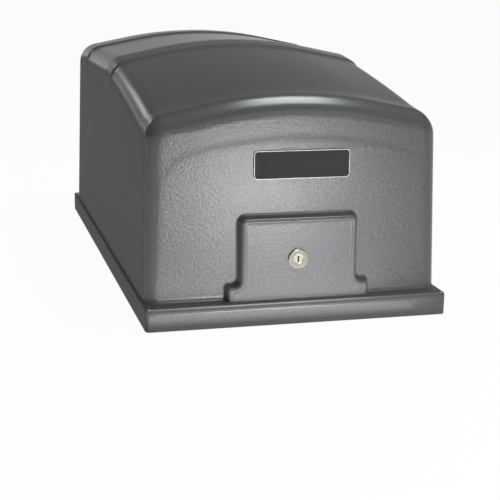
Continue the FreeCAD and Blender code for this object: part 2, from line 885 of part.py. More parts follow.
def bearing(name, outer, shaft, width, *spot):
    """A bearing as one ring, pressed into its seat and running on its shaft."""
    return tube(name, f"{outer} - 2 * press_gap", f"{shaft} + 2 * bearing_gap", width, *spot)


OUTPUT_BEARING = "output_bearing_diameter", "shaft_diameter"
WORM_BEARING = "worm_bearing_diameter", "worm_shaft_diameter", "worm_bearing_width"
RIGHT_SEAT = f"{BARREL_END} - worm_bearing_width"
bearings = [
    bearing("output_bearing_low", *OUTPUT_BEARING, "case_floor", "0", "output_y", DECK_TOP),
    bearing("output_bearing_high", *OUTPUT_BEARING, "lid_thickness", "0", "output_y", CASE_TOP),
    bearing("worm_bearing_left", *WORM_BEARING, *BARREL_AXIS),
    bearing("worm_bearing_right", *WORM_BEARING, RIGHT_SEAT, WORM_Y, WORM_Z, ALONG_X),
]
node(group("bearing_set", bearings), "shaft_bearings")

CAP_FACE = about(WORM_Y, "barrel_diameter / 2"), about(WORM_Z, "barrel_diameter / 2")
CAP_HOLE = "worm_shaft_diameter + 4 * hole_gap"
shaft_hole = rod("cap_shaft_hole", CAP_HOLE, "cap_thickness", BARREL_END, WORM_Y, WORM_Z, ALONG_X)
caps = [
    box("blind_cap", (f"-{BARREL_END} - cap_thickness", f"-{BARREL_END}"), *CAP_FACE),
    cut("open_cap", box("cap_blank", (BARREL_END, f"{BARREL_END} + cap_thickness"), *CAP_FACE), shaft_hole),
]
node(group("cap_pair", caps), "worm_caps")

# Output shaft with its wheel and limit cams.

CAM_STEP = f"({LID_TOP} + cam_spacing)"
CAM_END = f"({CAM_STEP} + 2 * cam_thickness + 2 * cam_spacing)"
SQUARE = "cam_square / 2"
shaft = fuse(
    "shaft_blank",
    rod("shaft_stub", "stub_diameter", "rail_height - shaft_ground_gap", "0", "output_y", "shaft_ground_gap"),
    rod("shaft_bar", "shaft_diameter", f"{CAM_STEP} - rail_height", "0", "output_y", "rail_height"),
    box("shaft_square", about("0", SQUARE), about("output_y", SQUARE), (CAM_STEP, CAM_END)),
)


def keyway():
    """The slot in the stub's side for the crank arm's key, at an angle about the shaft."""
    slot = doc.addObject("Part::Box", "keyway")
    bind(slot, Length="keyway_depth + hole_gap", Width="keyway_width", Height="keyway_length + hole_gap")
    floor = "(stub_diameter / 2 - keyway_depth)"
    across, up = "cos(keyway_angle)", "sin(keyway_angle)"
    x = f"{floor} * {across} + keyway_width / 2 * {up}"
    y = f"output_y + {floor} * {up} - keyway_width / 2 * {across}"
    place(slot, x, y, "shaft_ground_gap - hole_gap", Rotation(Vector(0, 0, 1), size("keyway_angle")))
    return slot


node(cut("shaft", shaft, keyway()), "output_shaft")


def tooth_half(radius, pitch_radius):
    """Half the width of a straight-flanked tooth at a radius of the wheel or the worm."""
    pitch = math.pi * size("gear_module")
    flank = math.tan(math.radians(size("tooth_flank")))
    return pitch * size("tooth_share") / 2 - (radius - pitch_radius) * flank


def wheel_teeth_ring():
    """The wheel's toothed rim, its teeth slanted across the face to lie along the worm's thread."""
    root, tip, pitch = size(WHEEL_ROOT), size(WHEEL_TIP), size(WHEEL_PITCH)
    slant = size("gear_module") / (2 * size("worm_pitch_radius"))
    step = 2 * math.pi / size("wheel_teeth")
    outlines = []
    for end in (-0.5, 0.5):
        height = end * size("wheel_face")
        points = []
        for number in range(int(size("wheel_teeth"))):
            middle = (number + 0.5) * step - math.pi / 2 + slant * height / pitch
            for radius, way in ((root, -1), (tip, -1), (tip, 1), (root, 1)):
                angle = middle + way * tooth_half(radius, pitch) / radius
                points.append(Vector(radius * math.cos(angle), radius * math.sin(angle), height))
        outlines.append(Part.makePolygon(points + points[:1]))
    rim = doc.addObject("Part::Feature", "wheel_rim")
    rim.Shape = Part.makeLoft(outlines, True, True)
    return place(rim, y="output_y", z=WORM_Z)


wheel_bore = rod(
    "wheel_bore",
    "shaft_diameter + 2 * press_gap",
    "wheel_face",
    "0",
    "output_y",
    f"{WORM_Z} - wheel_face / 2",
)
node(cut("wheel", wheel_teeth_ring(), wheel_bore), "worm_wheel")


def limit_cam(name, z, way):
    """A plate on the shaft's square end, with its flag towards one side."""
    heights = (z, f"{z} + cam_thickness")
    flag = about("output_y", "(cam_width / 2)")
    reach = ("-cam_width / 2", "cam_reach") if way > 0 else ("-cam_reach", "cam_width / 2")
    hole = about("0", f"({SQUARE} + press_gap)"), about("output_y", f"({SQUARE} + press_gap)")
    return cut(name, box(f"{name}_plate", reach, flag, heights), box(f"{name}_hole", *hole, heights))


CAM_LOW = CAM_STEP
CAM_HIGH = f"({CAM_LOW} + cam_thickness + cam_spacing)"
cams = limit_cam("open_limit_cam", CAM_LOW, 1), limit_cam("close_limit_cam", CAM_HIGH, -1)
node(group("limit_cam_pair", cams), "limit_cams")

# Worm shaft: the thread runs right-handed round the root, one module's lead to the turn.


def worm_thread():
    """The single thread, as flat facets between sections round the shaft."""
    root, tip, pitch = size(WORM_ROOT), size(WORM_TIP), size("worm_pitch_radius")
    lead = math.pi * size("gear_module")
    steps_per_turn = 8
    steps = int(size("worm_turns") * steps_per_turn)
    foot = root - size("step_gap")
    sections = []
    for step in range(-steps // 2, steps // 2 + 1):
        angle = 2 * math.pi * step / steps_per_turn
        along = lead * step / steps_per_turn
        corners = []
        for radius, way in ((foot, -1), (tip, -1), (tip, 1), (foot, 1)):
            x = along + way * tooth_half(radius, pitch)
            corners.append(Vector(x, radius * math.cos(angle), radius * math.sin(angle)))
        sections.append(corners)
    faces = [Part.makePolygon(end + end[:1]) for end in (sections[0], sections[-1])]
    for here, there in zip(sections, sections[1:]):
        for a, b, c, d in zip(here, here[1:] + here[:1], there[1:] + there[:1], there):
            faces += [Part.makePolygon([a, b, c, a]), Part.makePolygon([a, c, d, a])]
    thread = doc.addObject("Part::Feature", "worm_thread")
    thread.Shape = Part.makeSolid(Part.makeShell([Part.Face(face) for face in faces]))
    return place(thread, y=WORM_Y, z=WORM_Z)


SHOULDER = f"({BARREL_END} - worm_bearing_width - step_gap)"
spindle = fuse(
    "worm_spindle",
    rod(
        "worm_bar",
        "worm_shaft_diameter",
        f"{BARREL_END} - step_gap + worm_shaft_end",
        f"-{BARREL_END} + step_gap",
        WORM_Y,
        WORM_Z,
        ALONG_X,
    ),
    rod("worm_root", f"2 * {WORM_ROOT}", f"2 * {SHOULDER}", f"-{SHOULDER}", WORM_Y, WORM_Z, ALONG_X),
)
node(fuse("worm", spindle, worm_thread()), "worm_shaft")

# Belt drive from the motor down to the worm.

MOTOR_Z = f"({DECK_TOP} + motor_height)"


def pulley(name, radius, bore, y, z):
    """A plain pulley keyed on its shaft, a little smaller than the belt's inner line."""
    outer = f"2 * ({radius} - belt_gap)"
    inner = f"{bore} + 2 * press_gap"
    return tube(name, outer, inner, "pulley_width", "belt_x - pulley_width / 2", y, z, ALONG_X)


large_pulley = pulley("large_pulley", "reducer_pulley_radius", "worm_shaft_diameter", WORM_Y, WORM_Z)
node(large_pulley, "reducer_pulley")
small_pulley = pulley("small_pulley", "motor_pulley_radius", "motor_shaft_diameter", "motor_y", MOTOR_Z)
node(small_pulley, "motor_pulley")


def belt_line(outset):
    """A closed line round both pulleys, as two arcs and the two straights that touch them."""
    ends = [
        (size("motor_y"), size(MOTOR_Z), size("motor_pulley_radius") + outset),
        (size(WORM_Y), size(WORM_Z), size("reducer_pulley_radius") + outset),
    ]
    (small_y, small_z, small), (large_y, large_z, large) = ends
    run = math.hypot(large_y - small_y, large_z - small_z)
    line = math.atan2(large_z - small_z, large_y - small_y)
    lean = math.acos((small - large) / run)

    def touch(end, angle):
        y, z, radius = end
        return Vector(0, y + radius * math.cos(line + angle), z + radius * math.sin(line + angle))

    return Part.Wire(
        [
            Part.Arc(touch(ends[0], lean), touch(ends[0], math.pi), touch(ends[0], -lean)).toShape(),
            Part.makeLine(touch(ends[0], -lean), touch(ends[1], -lean)),
            Part.Arc(touch(ends[1], -lean), touch(ends[1], 0), touch(ends[1], lean)).toShape(),
            Part.makeLine(touch(ends[1], lean), touch(ends[0], lean)),
        ]
    )


def belt():
    """The ribbed belt as a plain band."""
    ring = Part.Face(belt_line(size("belt_thickness"))).cut(Part.Face(belt_line(0)))
    band = doc.addObject("Part::Feature", "belt_band")
    band.Shape = ring.extrude(Vector(size("belt_width"), 0, 0)).Solids[0]
    return place(band, x="belt_x - belt_width / 2")


node(belt(), "drive_belt")

# Motor: a ribbed frame between two end bells, in a cradle on the deck.

MOTOR_AXIS = "motor_y", MOTOR_Z, ALONG_X
FRAME_START = "(motor_drive_end - motor_length)"
SHAFT_START = "(motor_drive_end + bell_length + step_gap)"


def motor_frame():
    """The frame with ribs over its upper part."""
    pieces = [rod("motor_barrel", "motor_diameter", "motor_length", FRAME_START, *MOTOR_AXIS)]
    count = int(size("rib_count"))
    half = size("rib_thickness / 2")
    for number in range(count):
        angle = 90 + (number / (count - 1) - 0.5) * size("rib_spread")
        rib = doc.addObject("Part::Box", f"motor_rib_{number}")
        bind(rib, Length="motor_length - 2 * rib_depth", Height="rib_thickness")
        bind(rib, Width="motor_diameter / 2 + rib_depth")
        turn = math.radians(angle)
        lift = Vector(0, half * math.sin(turn), -half * math.cos(turn))
        rib.Placement = Placement(
            Vector(size(f"{FRAME_START} + rib_depth"), size("motor_y"), size(MOTOR_Z)) + lift,
            Rotation(Vector(1, 0, 0), angle),
        )
        pieces.append(rib)
    return fuse("motor_frame_body", *pieces)


node(motor_frame(), "motor_frame")
BELL = "motor_diameter + 2 * bell_lip"
COWL = "motor_diameter + 2 * cowl_lip"
COWL_START = f"({FRAME_START} - cowl_length)"
node(rod("drive_bell", BELL, "bell_length", "motor_drive_end", *MOTOR_AXIS), "motor_drive_bell")


def fan_cowl():
    """The cowl, with air slots round the fan in its back."""
    middle = Vector(size(COWL_START), size("motor_y"), size(MOTOR_Z))
    first = Vector(0, size("vent_start"), -size("vent_width / 2"))
    vents = []
    for number in range(int(size("vent_count"))):
        turn = Rotation(Vector(1, 0, 0), 360 * number / size("vent_count"))
        vent = doc.addObject("Part::Box", f"vent_{number}")
        bind(vent, Length="vent_depth", Width="vent_end - vent_start", Height="vent_width")
        vent.Placement = Placement(middle + turn.multVec(first), turn)
        vents.append(vent)
    return cut("vented_cowl", rod("cowl", COWL, "cowl_length", COWL_START, *MOTOR_AXIS), *vents)


node(fan_cowl(), "motor_fan_cowl")
shaft_length = f"worm_shaft_end - {SHAFT_START}"
node(rod("motor_spindle", "motor_shaft_diameter", shaft_length, SHAFT_START, *MOTOR_AXIS), "motor_shaft")


def motor_cradle():
    """A base plate with two saddles that the motor lies in."""
    middle = f"({FRAME_START} + motor_length / 2)"
    plate = box(
        "cradle_base",
        (f"{middle} - cradle_length / 2", f"{middle} + cradle_length / 2"),
        ("motor_y - cradle_width / 2", "motor_y + cradle_width / 2"),
        (DECK_TOP, f"{DECK_TOP} + cradle_plate"),
    )
    saddles = [
        box(
            f"saddle_{end}",
            (start, f"{start} + saddle_thickness"),
            ("motor_y - saddle_width / 2", "motor_y + saddle_width / 2"),
            (DECK_TOP, f"{DECK_TOP} + cradle_plate + saddle_height"),
        )
        for end, start in (
            ("left", f"{middle} - cradle_length / 2 + saddle_thickness / 2"),
            ("right", f"{middle} + cradle_length / 2 - 1.5 * saddle_thickness"),
        )
    ]
    bed = rod("cradle_bed", "motor_diameter + 2 * press_gap", "motor_length", FRAME_START, *MOTOR_AXIS)
    return cut("cradle", fuse("cradle_blank", plate, *saddles), bed)


node(motor_cradle(), "motor_cradle")
CAN_X = f"(capacitor_edge + capacitor_width / 2 - {DECK_SIDE})"
CAN_TOP = f"({DECK_TOP} + capacitor_height)"


def capacitor():
    """An oval can with two blade terminals on its top."""
    sketch = free_sketch("can_outline", CAN_X, "motor_y", DECK_TOP)
    rounded_rectangle(sketch, "capacitor_width / 2", "capacitor_length / 2", "capacitor_round")
    can = extrude("can", sketch, "capacitor_height")
    blades = [
        box(
            f"blade_{side}",
            about(CAN_X, "blade_thickness / 2"),
            about(f"(motor_y + {sign}blade_spread)", "blade_width / 2"),
            (CAN_TOP, f"{CAN_TOP} + blade_height"),
        )
        for side, sign in SIDES
    ]
    return fuse("capacitor_body", can, *blades)


node(capacitor(), "capacitor")

# Limit sensors: two inductive sensors in a bracket on the reducer's top cover.

SENSOR_TIP = "(output_y + sqrt(cam_reach ^ 2 + cam_width ^ 2 / 4) + sensor_air)"
BRACKET_Y = f"({SENSOR_TIP} + sensor_length)"
BRACKET_Z = LID_TOP
SENSORS = [f"{z} + cam_thickness / 2" for z in (CAM_LOW, CAM_HIGH)]
bracket = fuse(
    "bracket",
    box(
        "bracket_upright",
        about("0", "bracket_width / 2"),
        (BRACKET_Y, f"{BRACKET_Y} + sheet_thickness"),
        (BRACKET_Z, f"{BRACKET_Z} + bracket_height"),
    ),
    box(
        "bracket_foot_plate",
        about("0", "bracket_width / 2"),
        (f"{BRACKET_Y} - bracket_foot", BRACKET_Y),
        (BRACKET_Z, f"{BRACKET_Z} + sheet_thickness"),
    ),
)
node(bracket, "sensor_bracket")
sensors = [
    box(
        f"sensor_{number}",
        about(f"{number - 0.5} * 2 * sensor_width", "sensor_width / 2"),
        (SENSOR_TIP, BRACKET_Y),
        about(z, "sensor_height / 2"),
    )
    for number, z in enumerate(SENSORS)
]
node(group("sensor_pair", sensors), "limit_sensors")

# Control panel across the rear, with the circuit board on stand-offs in front of it.

SHEET_FACE = f"({DECK_END} - panel_setback)"
SHEET_BACK = f"({SHEET_FACE} + sheet_thickness)"
BOARD_BACK = f"({SHEET_FACE} - standoff_length)"
BOARD_FACE = f"({BOARD_BACK} - board_thickness)"
BOARD_LOW = f"({DECK_TOP} + board_rise)"
BOARD_HIGH = f"({BOARD_LOW} + board_height)"
PANEL_TOP = f"{DECK_TOP} + panel_sheet_height"
SLOT_LOW = f"{DECK_TOP} + wire_slot_rise"
PANEL_SIDE = f"({DECK_SIDE} - panel_side_gap)"
ACROSS = about("0", PANEL_SIDE)
panel_sheet = fuse(
    "panel_sheet",
    box(
        "panel_upright",
        ACROSS,
        (SHEET_FACE, SHEET_BACK),
        (DECK_TOP, PANEL_TOP),
    ),
    box(
        "panel_foot",
        ACROSS,
        (SHEET_FACE, f"{SHEET_BACK} + panel_sheet_foot"),
        (DECK_TOP, f"{DECK_TOP} + sheet_thickness"),
    ),
    box(
        "panel_left_return",
        (f"-{PANEL_SIDE}", f"sheet_thickness - {PANEL_SIDE}"),
        (SHEET_FACE, f"{SHEET_BACK} + panel_return"),
        (DECK_TOP, PANEL_TOP),
    ),
    box(
        "panel_right_return",
        (f"{PANEL_SIDE} - sheet_thickness", PANEL_SIDE),
        (SHEET_FACE, f"{SHEET_BACK} + panel_return"),
        (DECK_TOP, PANEL_TOP),
    ),
)
wire_slot = box(
    "wire_slot",
    about("0", "wire_slot_width / 2"),
    (SHEET_FACE, SHEET_BACK),
    (SLOT_LOW, f"{SLOT_LOW} + wire_slot_height"),
)
node(cut("slotted_panel", panel_sheet, wire_slot), "control_panel")
board = box("board", about("0", "board_width / 2"), (BOARD_FACE, BOARD_BACK), (BOARD_LOW, BOARD_HIGH))
node(board, "circuit_board")


def standoff(name, x, z):
    """A hexagonal post between panel and board."""
    post = doc.addObject("Part::Prism", name)
    post.Polygon = 6
    bind(post, Circumradius="standoff_width / sqrt(3)", Height="standoff_length")
    return place(post, x, SHEET_FACE, z, TO_FRONT)


standoffs = [
    standoff(f"standoff_{side}_{level}", f"{sign}(board_width / 2 - standoff_inset)", z)
    for side, sign in SIDES
    for level, z in (("low", f"{BOARD_LOW} + standoff_inset"), ("high", f"{BOARD_HIGH} - standoff_inset"))
]
node(group("standoff_set", standoffs), "board_standoffs")


def terminal_block(number):
    """A terminal block with a row of wire entries along its front."""
    middle = f"({number - 1} * 1.2 * terminal_length)"
    low, front = f"({BOARD_LOW} + 2 * standoff_inset)", f"({BOARD_FACE} - terminal_depth)"
    block = box(
        f"terminals_{number}",
        about(middle, "terminal_length / 2"),
        (front, BOARD_FACE),
        (low, f"{low} + terminal_height"),
    )
    ways = int(size("terminal_ways"))
    pitch = "terminal_length / terminal_ways"
    entries = [
        box(
            f"entry_{number}_{way}",
            about(f"({middle} + {way + 0.5 - ways / 2} * {pitch})", "entry_width / 2"),
            (front, f"{front} + entry_depth"),
            (f"{low} + entry_rise", f"{low} + entry_rise + entry_height"),
        )
        for way in range(ways)
    ]
    return cut(f"terminal_block_{number}", block, *entries)


node(group("terminal_set", [terminal_block(number) for number in range(3)]), "terminal_blocks")
relays = [
    box(
        f"relay_{number}",
        (f"(-{number} - 1) * relay_pitch", f"(-{number} - 1) * relay_pitch + relay_width"),
        (f"{BOARD_FACE} - relay_depth", BOARD_FACE),
        (f"{BOARD_HIGH} - 2 * standoff_inset - relay_height", f"{BOARD_HIGH} - 2 * standoff_inset"),
    )
    for number in range(3)
]
node(group("relay_set", relays), "relays")
CORE_X = f"({DECK_SIDE} - transformer_edge - core_width / 2)"
CORE_Y = f"({DECK_END} - transformer_setback - core_depth / 2)"
COIL_END = "(core_depth / 2 + coil_bulge)"
COIL_LOW = f"{DECK_TOP} + coil_bulge"
COIL_HIGH = f"{DECK_TOP} + core_height - coil_bulge"


def bobbin_plate(name, start):
    """A flange of the coil's bobbin."""
    return box(
        name,
        about(CORE_X, "(core_width / 4 + bobbin_lip)"),
        (start, f"{start} + bobbin_plate"),
        (f"{COIL_LOW} - bobbin_lip", f"{COIL_HIGH} + bobbin_lip"),
    )


transformer = fuse(
    "transformer_body",
    box(
        "transformer_core",
        about(CORE_X, "core_width / 2"),
        about(CORE_Y, "core_depth / 2"),
        (DECK_TOP, f"{DECK_TOP} + core_height"),
    ),
    box(
        "transformer_coil",
        about(CORE_X, "core_width / 4"),
        about(CORE_Y, COIL_END),
        (COIL_LOW, COIL_HIGH),
    ),
    bobbin_plate("bobbin_front", f"{CORE_Y} - {COIL_END}"),
    bobbin_plate("bobbin_rear", f"{CORE_Y} + {COIL_END} - bobbin_plate"),
    box(
        "transformer_feet",
        about(CORE_X, "(core_width / 2 + core_foot)"),
        about(CORE_Y, "core_depth / 3"),
        (DECK_TOP, f"{DECK_TOP} + core_foot_thickness"),
    ),
)
node(transformer, "transformer")

# Power box with a rocker switch and a reset button on its top.

BOX_TOP = f"({DECK_TOP} + box_height)"
BOX_X = f"({DECK_SIDE} - box_edge - box_width / 2)"
BOX_Y = f"(box_setback + box_depth / 2 - {DECK_END})"
SWITCH_Y = f"({BOX_Y} - switch_setback)"
BUTTON_Y = f"({BOX_Y} + switch_setback)"
SWITCH_HALF_X = "(rocker_width / 2 + rocker_gap)"
SWITCH_HALF_Y = "(rocker_length / 2 + rocker_gap)"
BUTTON_HALF = "(button_width / 2 + button_gap)"

box_blank = fuse(
    "power_box_blank",
    box(
        "power_box_block",
        about(BOX_X, "box_width / 2"),
        about(BOX_Y, "box_depth / 2"),
        (DECK_TOP, BOX_TOP),
    ),
    box(
        "switch_bezel",
        about(BOX_X, f"({SWITCH_HALF_X} + bezel_wall)"),
        about(SWITCH_Y, f"({SWITCH_HALF_Y} + bezel_wall)"),
        (BOX_TOP, f"{BOX_TOP} + bezel_height"),
    ),
    box(
        "button_bezel",
        about(BOX_X, f"({BUTTON_HALF} + bezel_wall)"),
        about(BUTTON_Y, f"({BUTTON_HALF} + bezel_wall)"),
        (BOX_TOP, f"{BOX_TOP} + bezel_height"),
    ),
)
box_hollows = [
    box(
        "power_box_inside",
        about(BOX_X, "(box_width / 2 - box_wall)"),
        about(BOX_Y, "(box_depth / 2 - box_wall)"),
        (DECK_TOP, f"{BOX_TOP} - box_wall"),
    ),
    box(
        "switch_opening",
        about(BOX_X, SWITCH_HALF_X),
        about(SWITCH_Y, SWITCH_HALF_Y),
        (f"{BOX_TOP} - box_wall", f"{BOX_TOP} + bezel_height"),
    ),
    box(
        "button_opening",
        about(BOX_X, BUTTON_HALF),
        about(BUTTON_Y, BUTTON_HALF),
        (f"{BOX_TOP} - box_wall", f"{BOX_TOP} + bezel_height"),
    ),
]
node(cut("power_box_shell", box_blank, *box_hollows), "power_box")


def rocker():
    """The rocker, tipped to its off side, on a short axle."""
    tip = Rotation(Vector(1, 0, 0), -size("rocker_tilt")).multiply(Rotation(Vector(0, 1, 0), 90))
    start = f"{BOX_X} - rocker_width / 2"
    sketch = free_sketch("rocker_side", start, SWITCH_Y, f"{BOX_TOP} + bezel_height / 2", tip)
    half = "rocker_length / 2"
    polygon(
        sketch,
        [
            ("rocker_axle / 2", f"-{half}"),
            ("rocker_axle / 2", half),
            ("-rocker_height", half),
            ("rocker_dip - rocker_height", "0"),
            ("-rocker_height", f"-{half}"),
        ],
    )
    paddle = extrude("rocker_paddle", sketch, "rocker_width")
    axle = rod(
        "rocker_axle_pin",
        "rocker_axle",
        "rocker_width + rocker_gap",
        f"{start} - rocker_gap / 2",
        SWITCH_Y,
        f"{BOX_TOP} + bezel_height / 2",
        ALONG_X,
    )
    return fuse("rocker", paddle, axle)


node(rocker(), "power_rocker")
button = box(
    "button",
    about(BOX_X, "button_width / 2"),
    about(BUTTON_Y, "button_width / 2"),
    (f"{BOX_TOP} - box_wall - button_travel / 2", f"{BOX_TOP} + bezel_height + 1.5 * button_travel"),
)
node(button, "reset_button")
HORN_X = f"horn_edge + horn_width / 2 - {DECK_SIDE}"
HORN_Y = f"horn_setback + horn_width / 2 - {DECK_END}"


def alarm_horn():
    """A square case with round corners and a round mouth in its top."""
    sketch = free_sketch("horn_outline", HORN_X, HORN_Y, DECK_TOP)
    rounded_rectangle(sketch, "horn_width / 2", "horn_width / 2", "horn_corner")
    mouth_floor = f"{DECK_TOP} + horn_height - horn_mouth_depth"
    mouth = rod("horn_mouth_recess", "horn_mouth", "horn_mouth_depth", HORN_X, HORN_Y, mouth_floor)
    return cut("horn", extrude("horn_case", sketch, "horn_height"), mouth)


node(alarm_horn(), "alarm_horn")

doc.recompute()
for thing in doc.Objects:
    if "Invalid" in thing.State or "Error" in thing.State:
        raise RuntimeError(f"{thing.Name} did not rebuild")
for thing in nodes:
    if thing.Shape.isNull() or not thing.Shape.isValid() or not thing.Shape.Solids:
        raise RuntimeError(f"{thing.Label} is not a sound solid")
for thing in nodes:
    thing.Shape.exportStep(f"parts/{thing.Label}.step")
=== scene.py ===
import json
import math

import bmesh
import bpy
import numpy as np
from mathutils import Matrix, Vector

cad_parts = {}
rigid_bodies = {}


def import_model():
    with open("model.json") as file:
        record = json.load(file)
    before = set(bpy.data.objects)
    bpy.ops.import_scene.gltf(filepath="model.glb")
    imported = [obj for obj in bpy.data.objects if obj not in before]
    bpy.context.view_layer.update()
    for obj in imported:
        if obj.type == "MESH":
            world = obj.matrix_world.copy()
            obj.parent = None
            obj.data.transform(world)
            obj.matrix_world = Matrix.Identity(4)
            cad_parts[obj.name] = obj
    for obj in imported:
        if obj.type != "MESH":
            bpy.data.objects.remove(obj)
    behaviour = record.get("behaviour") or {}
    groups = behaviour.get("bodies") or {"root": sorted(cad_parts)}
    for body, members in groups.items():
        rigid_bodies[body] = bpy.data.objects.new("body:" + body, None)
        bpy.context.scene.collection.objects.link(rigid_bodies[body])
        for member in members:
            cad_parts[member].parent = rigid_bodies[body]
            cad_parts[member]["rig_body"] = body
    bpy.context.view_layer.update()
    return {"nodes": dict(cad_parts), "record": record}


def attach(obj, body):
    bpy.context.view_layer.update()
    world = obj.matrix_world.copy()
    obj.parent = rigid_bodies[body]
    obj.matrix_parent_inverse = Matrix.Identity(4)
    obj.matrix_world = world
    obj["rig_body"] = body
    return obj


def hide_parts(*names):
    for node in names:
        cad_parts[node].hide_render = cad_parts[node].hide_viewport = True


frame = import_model()


# Rails: two channels of zinc-plated steel that bolt to the stand with their webs inboard.
# Rolled sections, so their edges are a little round, and the plate is dull with a faint spangle.


class Value:
    """A number that varies over a surface. Sums and products of such numbers add nodes for them."""

    def __init__(self, socket):
        self.socket = socket

    def beside(self, output):
        """Another output of the node that this one comes from."""
        return Value(self.socket.node.outputs[output])

    def reckon(self, operation, first, second):
        tree = self.socket.id_data
        node = tree.nodes.new("ShaderNodeMath")
        node.operation = operation
        for entry, part in zip(node.inputs, (first, second)):
            if isinstance(part, Value):
                tree.links.new(part.socket, entry)
            else:
                entry.default_value = part
        return Value(node.outputs[0])

    def __add__(self, other):
        return self.reckon("ADD", self, other)

    def __radd__(self, other):
        return self.reckon("ADD", other, self)

    def __sub__(self, other):
        return self.reckon("SUBTRACT", self, other)

    def __rsub__(self, other):
        return self.reckon("SUBTRACT", other, self)

    def __mul__(self, other):
        return self.reckon("MULTIPLY", self, other)

    def __rmul__(self, other):
        return self.reckon("MULTIPLY", other, self)


class Nodes:
    """A node tree in the making. All nodes but those for sums and products are added here."""

    def __init__(self, tree):
        self.tree = tree

    def add(self, kind, settings, sockets, output=0):
        """Adds a node: its settings first, then what its sockets hold. Gives one of its outputs."""
        node = self.tree.nodes.new(kind)
        for name, value in settings.items():
            if name == "stops":
                while len(node.color_ramp.elements) < len(value):
                    node.color_ramp.elements.new(0.5)
                for element, (position, colour) in zip(node.color_ramp.elements, value):
                    element.position = position
                    element.color = colour
            else:
                setattr(node, name, value)
        for name, value in sockets.items():
            self.fill(node.inputs[name], value)
        return Value(node.outputs[output]) if node.outputs else None

    def fill(self, socket, value):
        if isinstance(value, Value):
            self.tree.links.new(value.socket, socket)
        else:
            socket.default_value = value

    def steps(self, amount, *stops):
        """A grey looked up on a ramp of positions and levels."""
        colours = [(position, (level, level, level, 1)) for position, level in stops]
        return self.add("ShaderNodeValToRGB", {"stops": colours}, {"Fac": amount}, "Color")


class Finish(Nodes):
    """A material in the making, with its surface shader and its output already joined."""

    def __init__(self, name, **constants):
        self.material = bpy.data.materials.new(name)
        self.material.use_nodes = True
        super().__init__(self.material.node_tree)
        self.surface = self.tree.nodes["Principled BSDF"]
        for socket, value in constants.items():
            self.surface.inputs[socket.replace("_", " ")].default_value = value
        self.place = self.add("ShaderNodeTexCoord", {}, {}, "Object")

    def shade(self, socket, value):
        self.fill(self.surface.inputs[socket], value)

    def noise(self, scale, detail=2.0, roughness=0.5):
        sockets = {"Vector": self.place, "Scale": scale, "Detail": detail, "Roughness": roughness}
        return self.add("ShaderNodeTexNoise", {}, sockets, "Fac")

    def stretched_noise(self, stretch, scale, detail=2.0):
        """Noise drawn out along an axis, for brushing, turning and rolling marks."""
        mapping = {"Vector": self.place, "Scale": stretch}
        drawn = self.add("ShaderNodeMapping", {}, mapping, "Vector")
        sockets = {"Vector": drawn, "Scale": scale, "Detail": detail}
        return self.add("ShaderNodeTexNoise", {}, sockets, "Fac")

    def between(self, amount, first, second):
        """A colour that goes from the first to the second."""
        factor, start, end, colour = 0, 6, 7, 2
        sockets = {factor: amount, start: first, end: second}
        return self.add("ShaderNodeMix", {"data_type": "RGBA"}, sockets, colour)

    def bump(self, height, strength, depth):
        sockets = {"Height": height, "Strength": strength, "Distance": depth}
        self.shade("Normal", self.add("ShaderNodeBump", {}, sockets, "Normal"))


def body_of(node):
    return frame["nodes"][node]["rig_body"]


def slot_of(node):
    subparts = frame["record"]["subparts"]
    return next(piece["material_slot"] for piece in subparts if piece["node"] == node)


def keep_piece(name, mesh, body, slot, *nodes):
    """Makes an object of a finished mesh that rides on a body and stands for the given nodes."""
    piece = bpy.data.objects.new(name, mesh)
    bpy.context.scene.collection.objects.link(piece)
    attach(piece, body)
    if nodes:
        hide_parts(*nodes)
    return piece


def dress(node, material, edge, segments=2, sharp=35):
    """Shows a node with its faces joined up again and its sharp edges broken by a small round."""
    touching, flat = 1e-6, math.radians(0.5)
    mesh = frame["nodes"][node].data.copy()
    work = bmesh.new()
    work.from_mesh(mesh)
    bmesh.ops.remove_doubles(work, verts=work.verts, dist=touching)
    bmesh.ops.dissolve_limit(
        work, angle_limit=flat, verts=work.verts, edges=work.edges, delimit={"NORMAL"}
    )
    work.to_mesh(mesh)
    work.free()
    mesh.materials.clear()
    mesh.materials.append(material)
    mesh.shade_smooth()
    piece = keep_piece(f"{node}_dressed", mesh, body_of(node), slot_of(node), node)
    round_edge = piece.modifiers.new("edge", "BEVEL")
    round_edge.width = edge
    round_edge.segments = segments
    round_edge.limit_method = "ANGLE"
    round_edge.angle_limit = math.radians(sharp)
    round_edge.harden_normals = True
    return piece


def zinc_plate():
    finish = Finish("zinc_plate", Metallic=1.0)
    spangle = finish.noise(60, 3)
    streak = finish.stretched_noise((1, 0.06, 1), 180)
    dull, clear = (0.5, 0.5, 0.47, 1), (0.68, 0.68, 0.66, 1)
    finish.shade("Base Color", finish.between(spangle, dull, clear))
    finish.shade("Roughness", 0.3 + 0.16 * spangle + 0.08 * streak)
    finish.bump(streak, strength=0.15, depth=0.0002)
    return finish.material


zinc = zinc_plate()
for rail in ("left_rail", "right_rail"):
    dress(rail, zinc, edge=0.0012, segments=3)


# Deck: one sheared and punched steel plate, plated like the rails and bolted down on them.
# The keeper beside its front notch is bent from strip, and the lock's tongue turns under its tab.

HEAD_SIZES = ("Head Radius", "Head Height", "Washer Radius", "Washer Height")


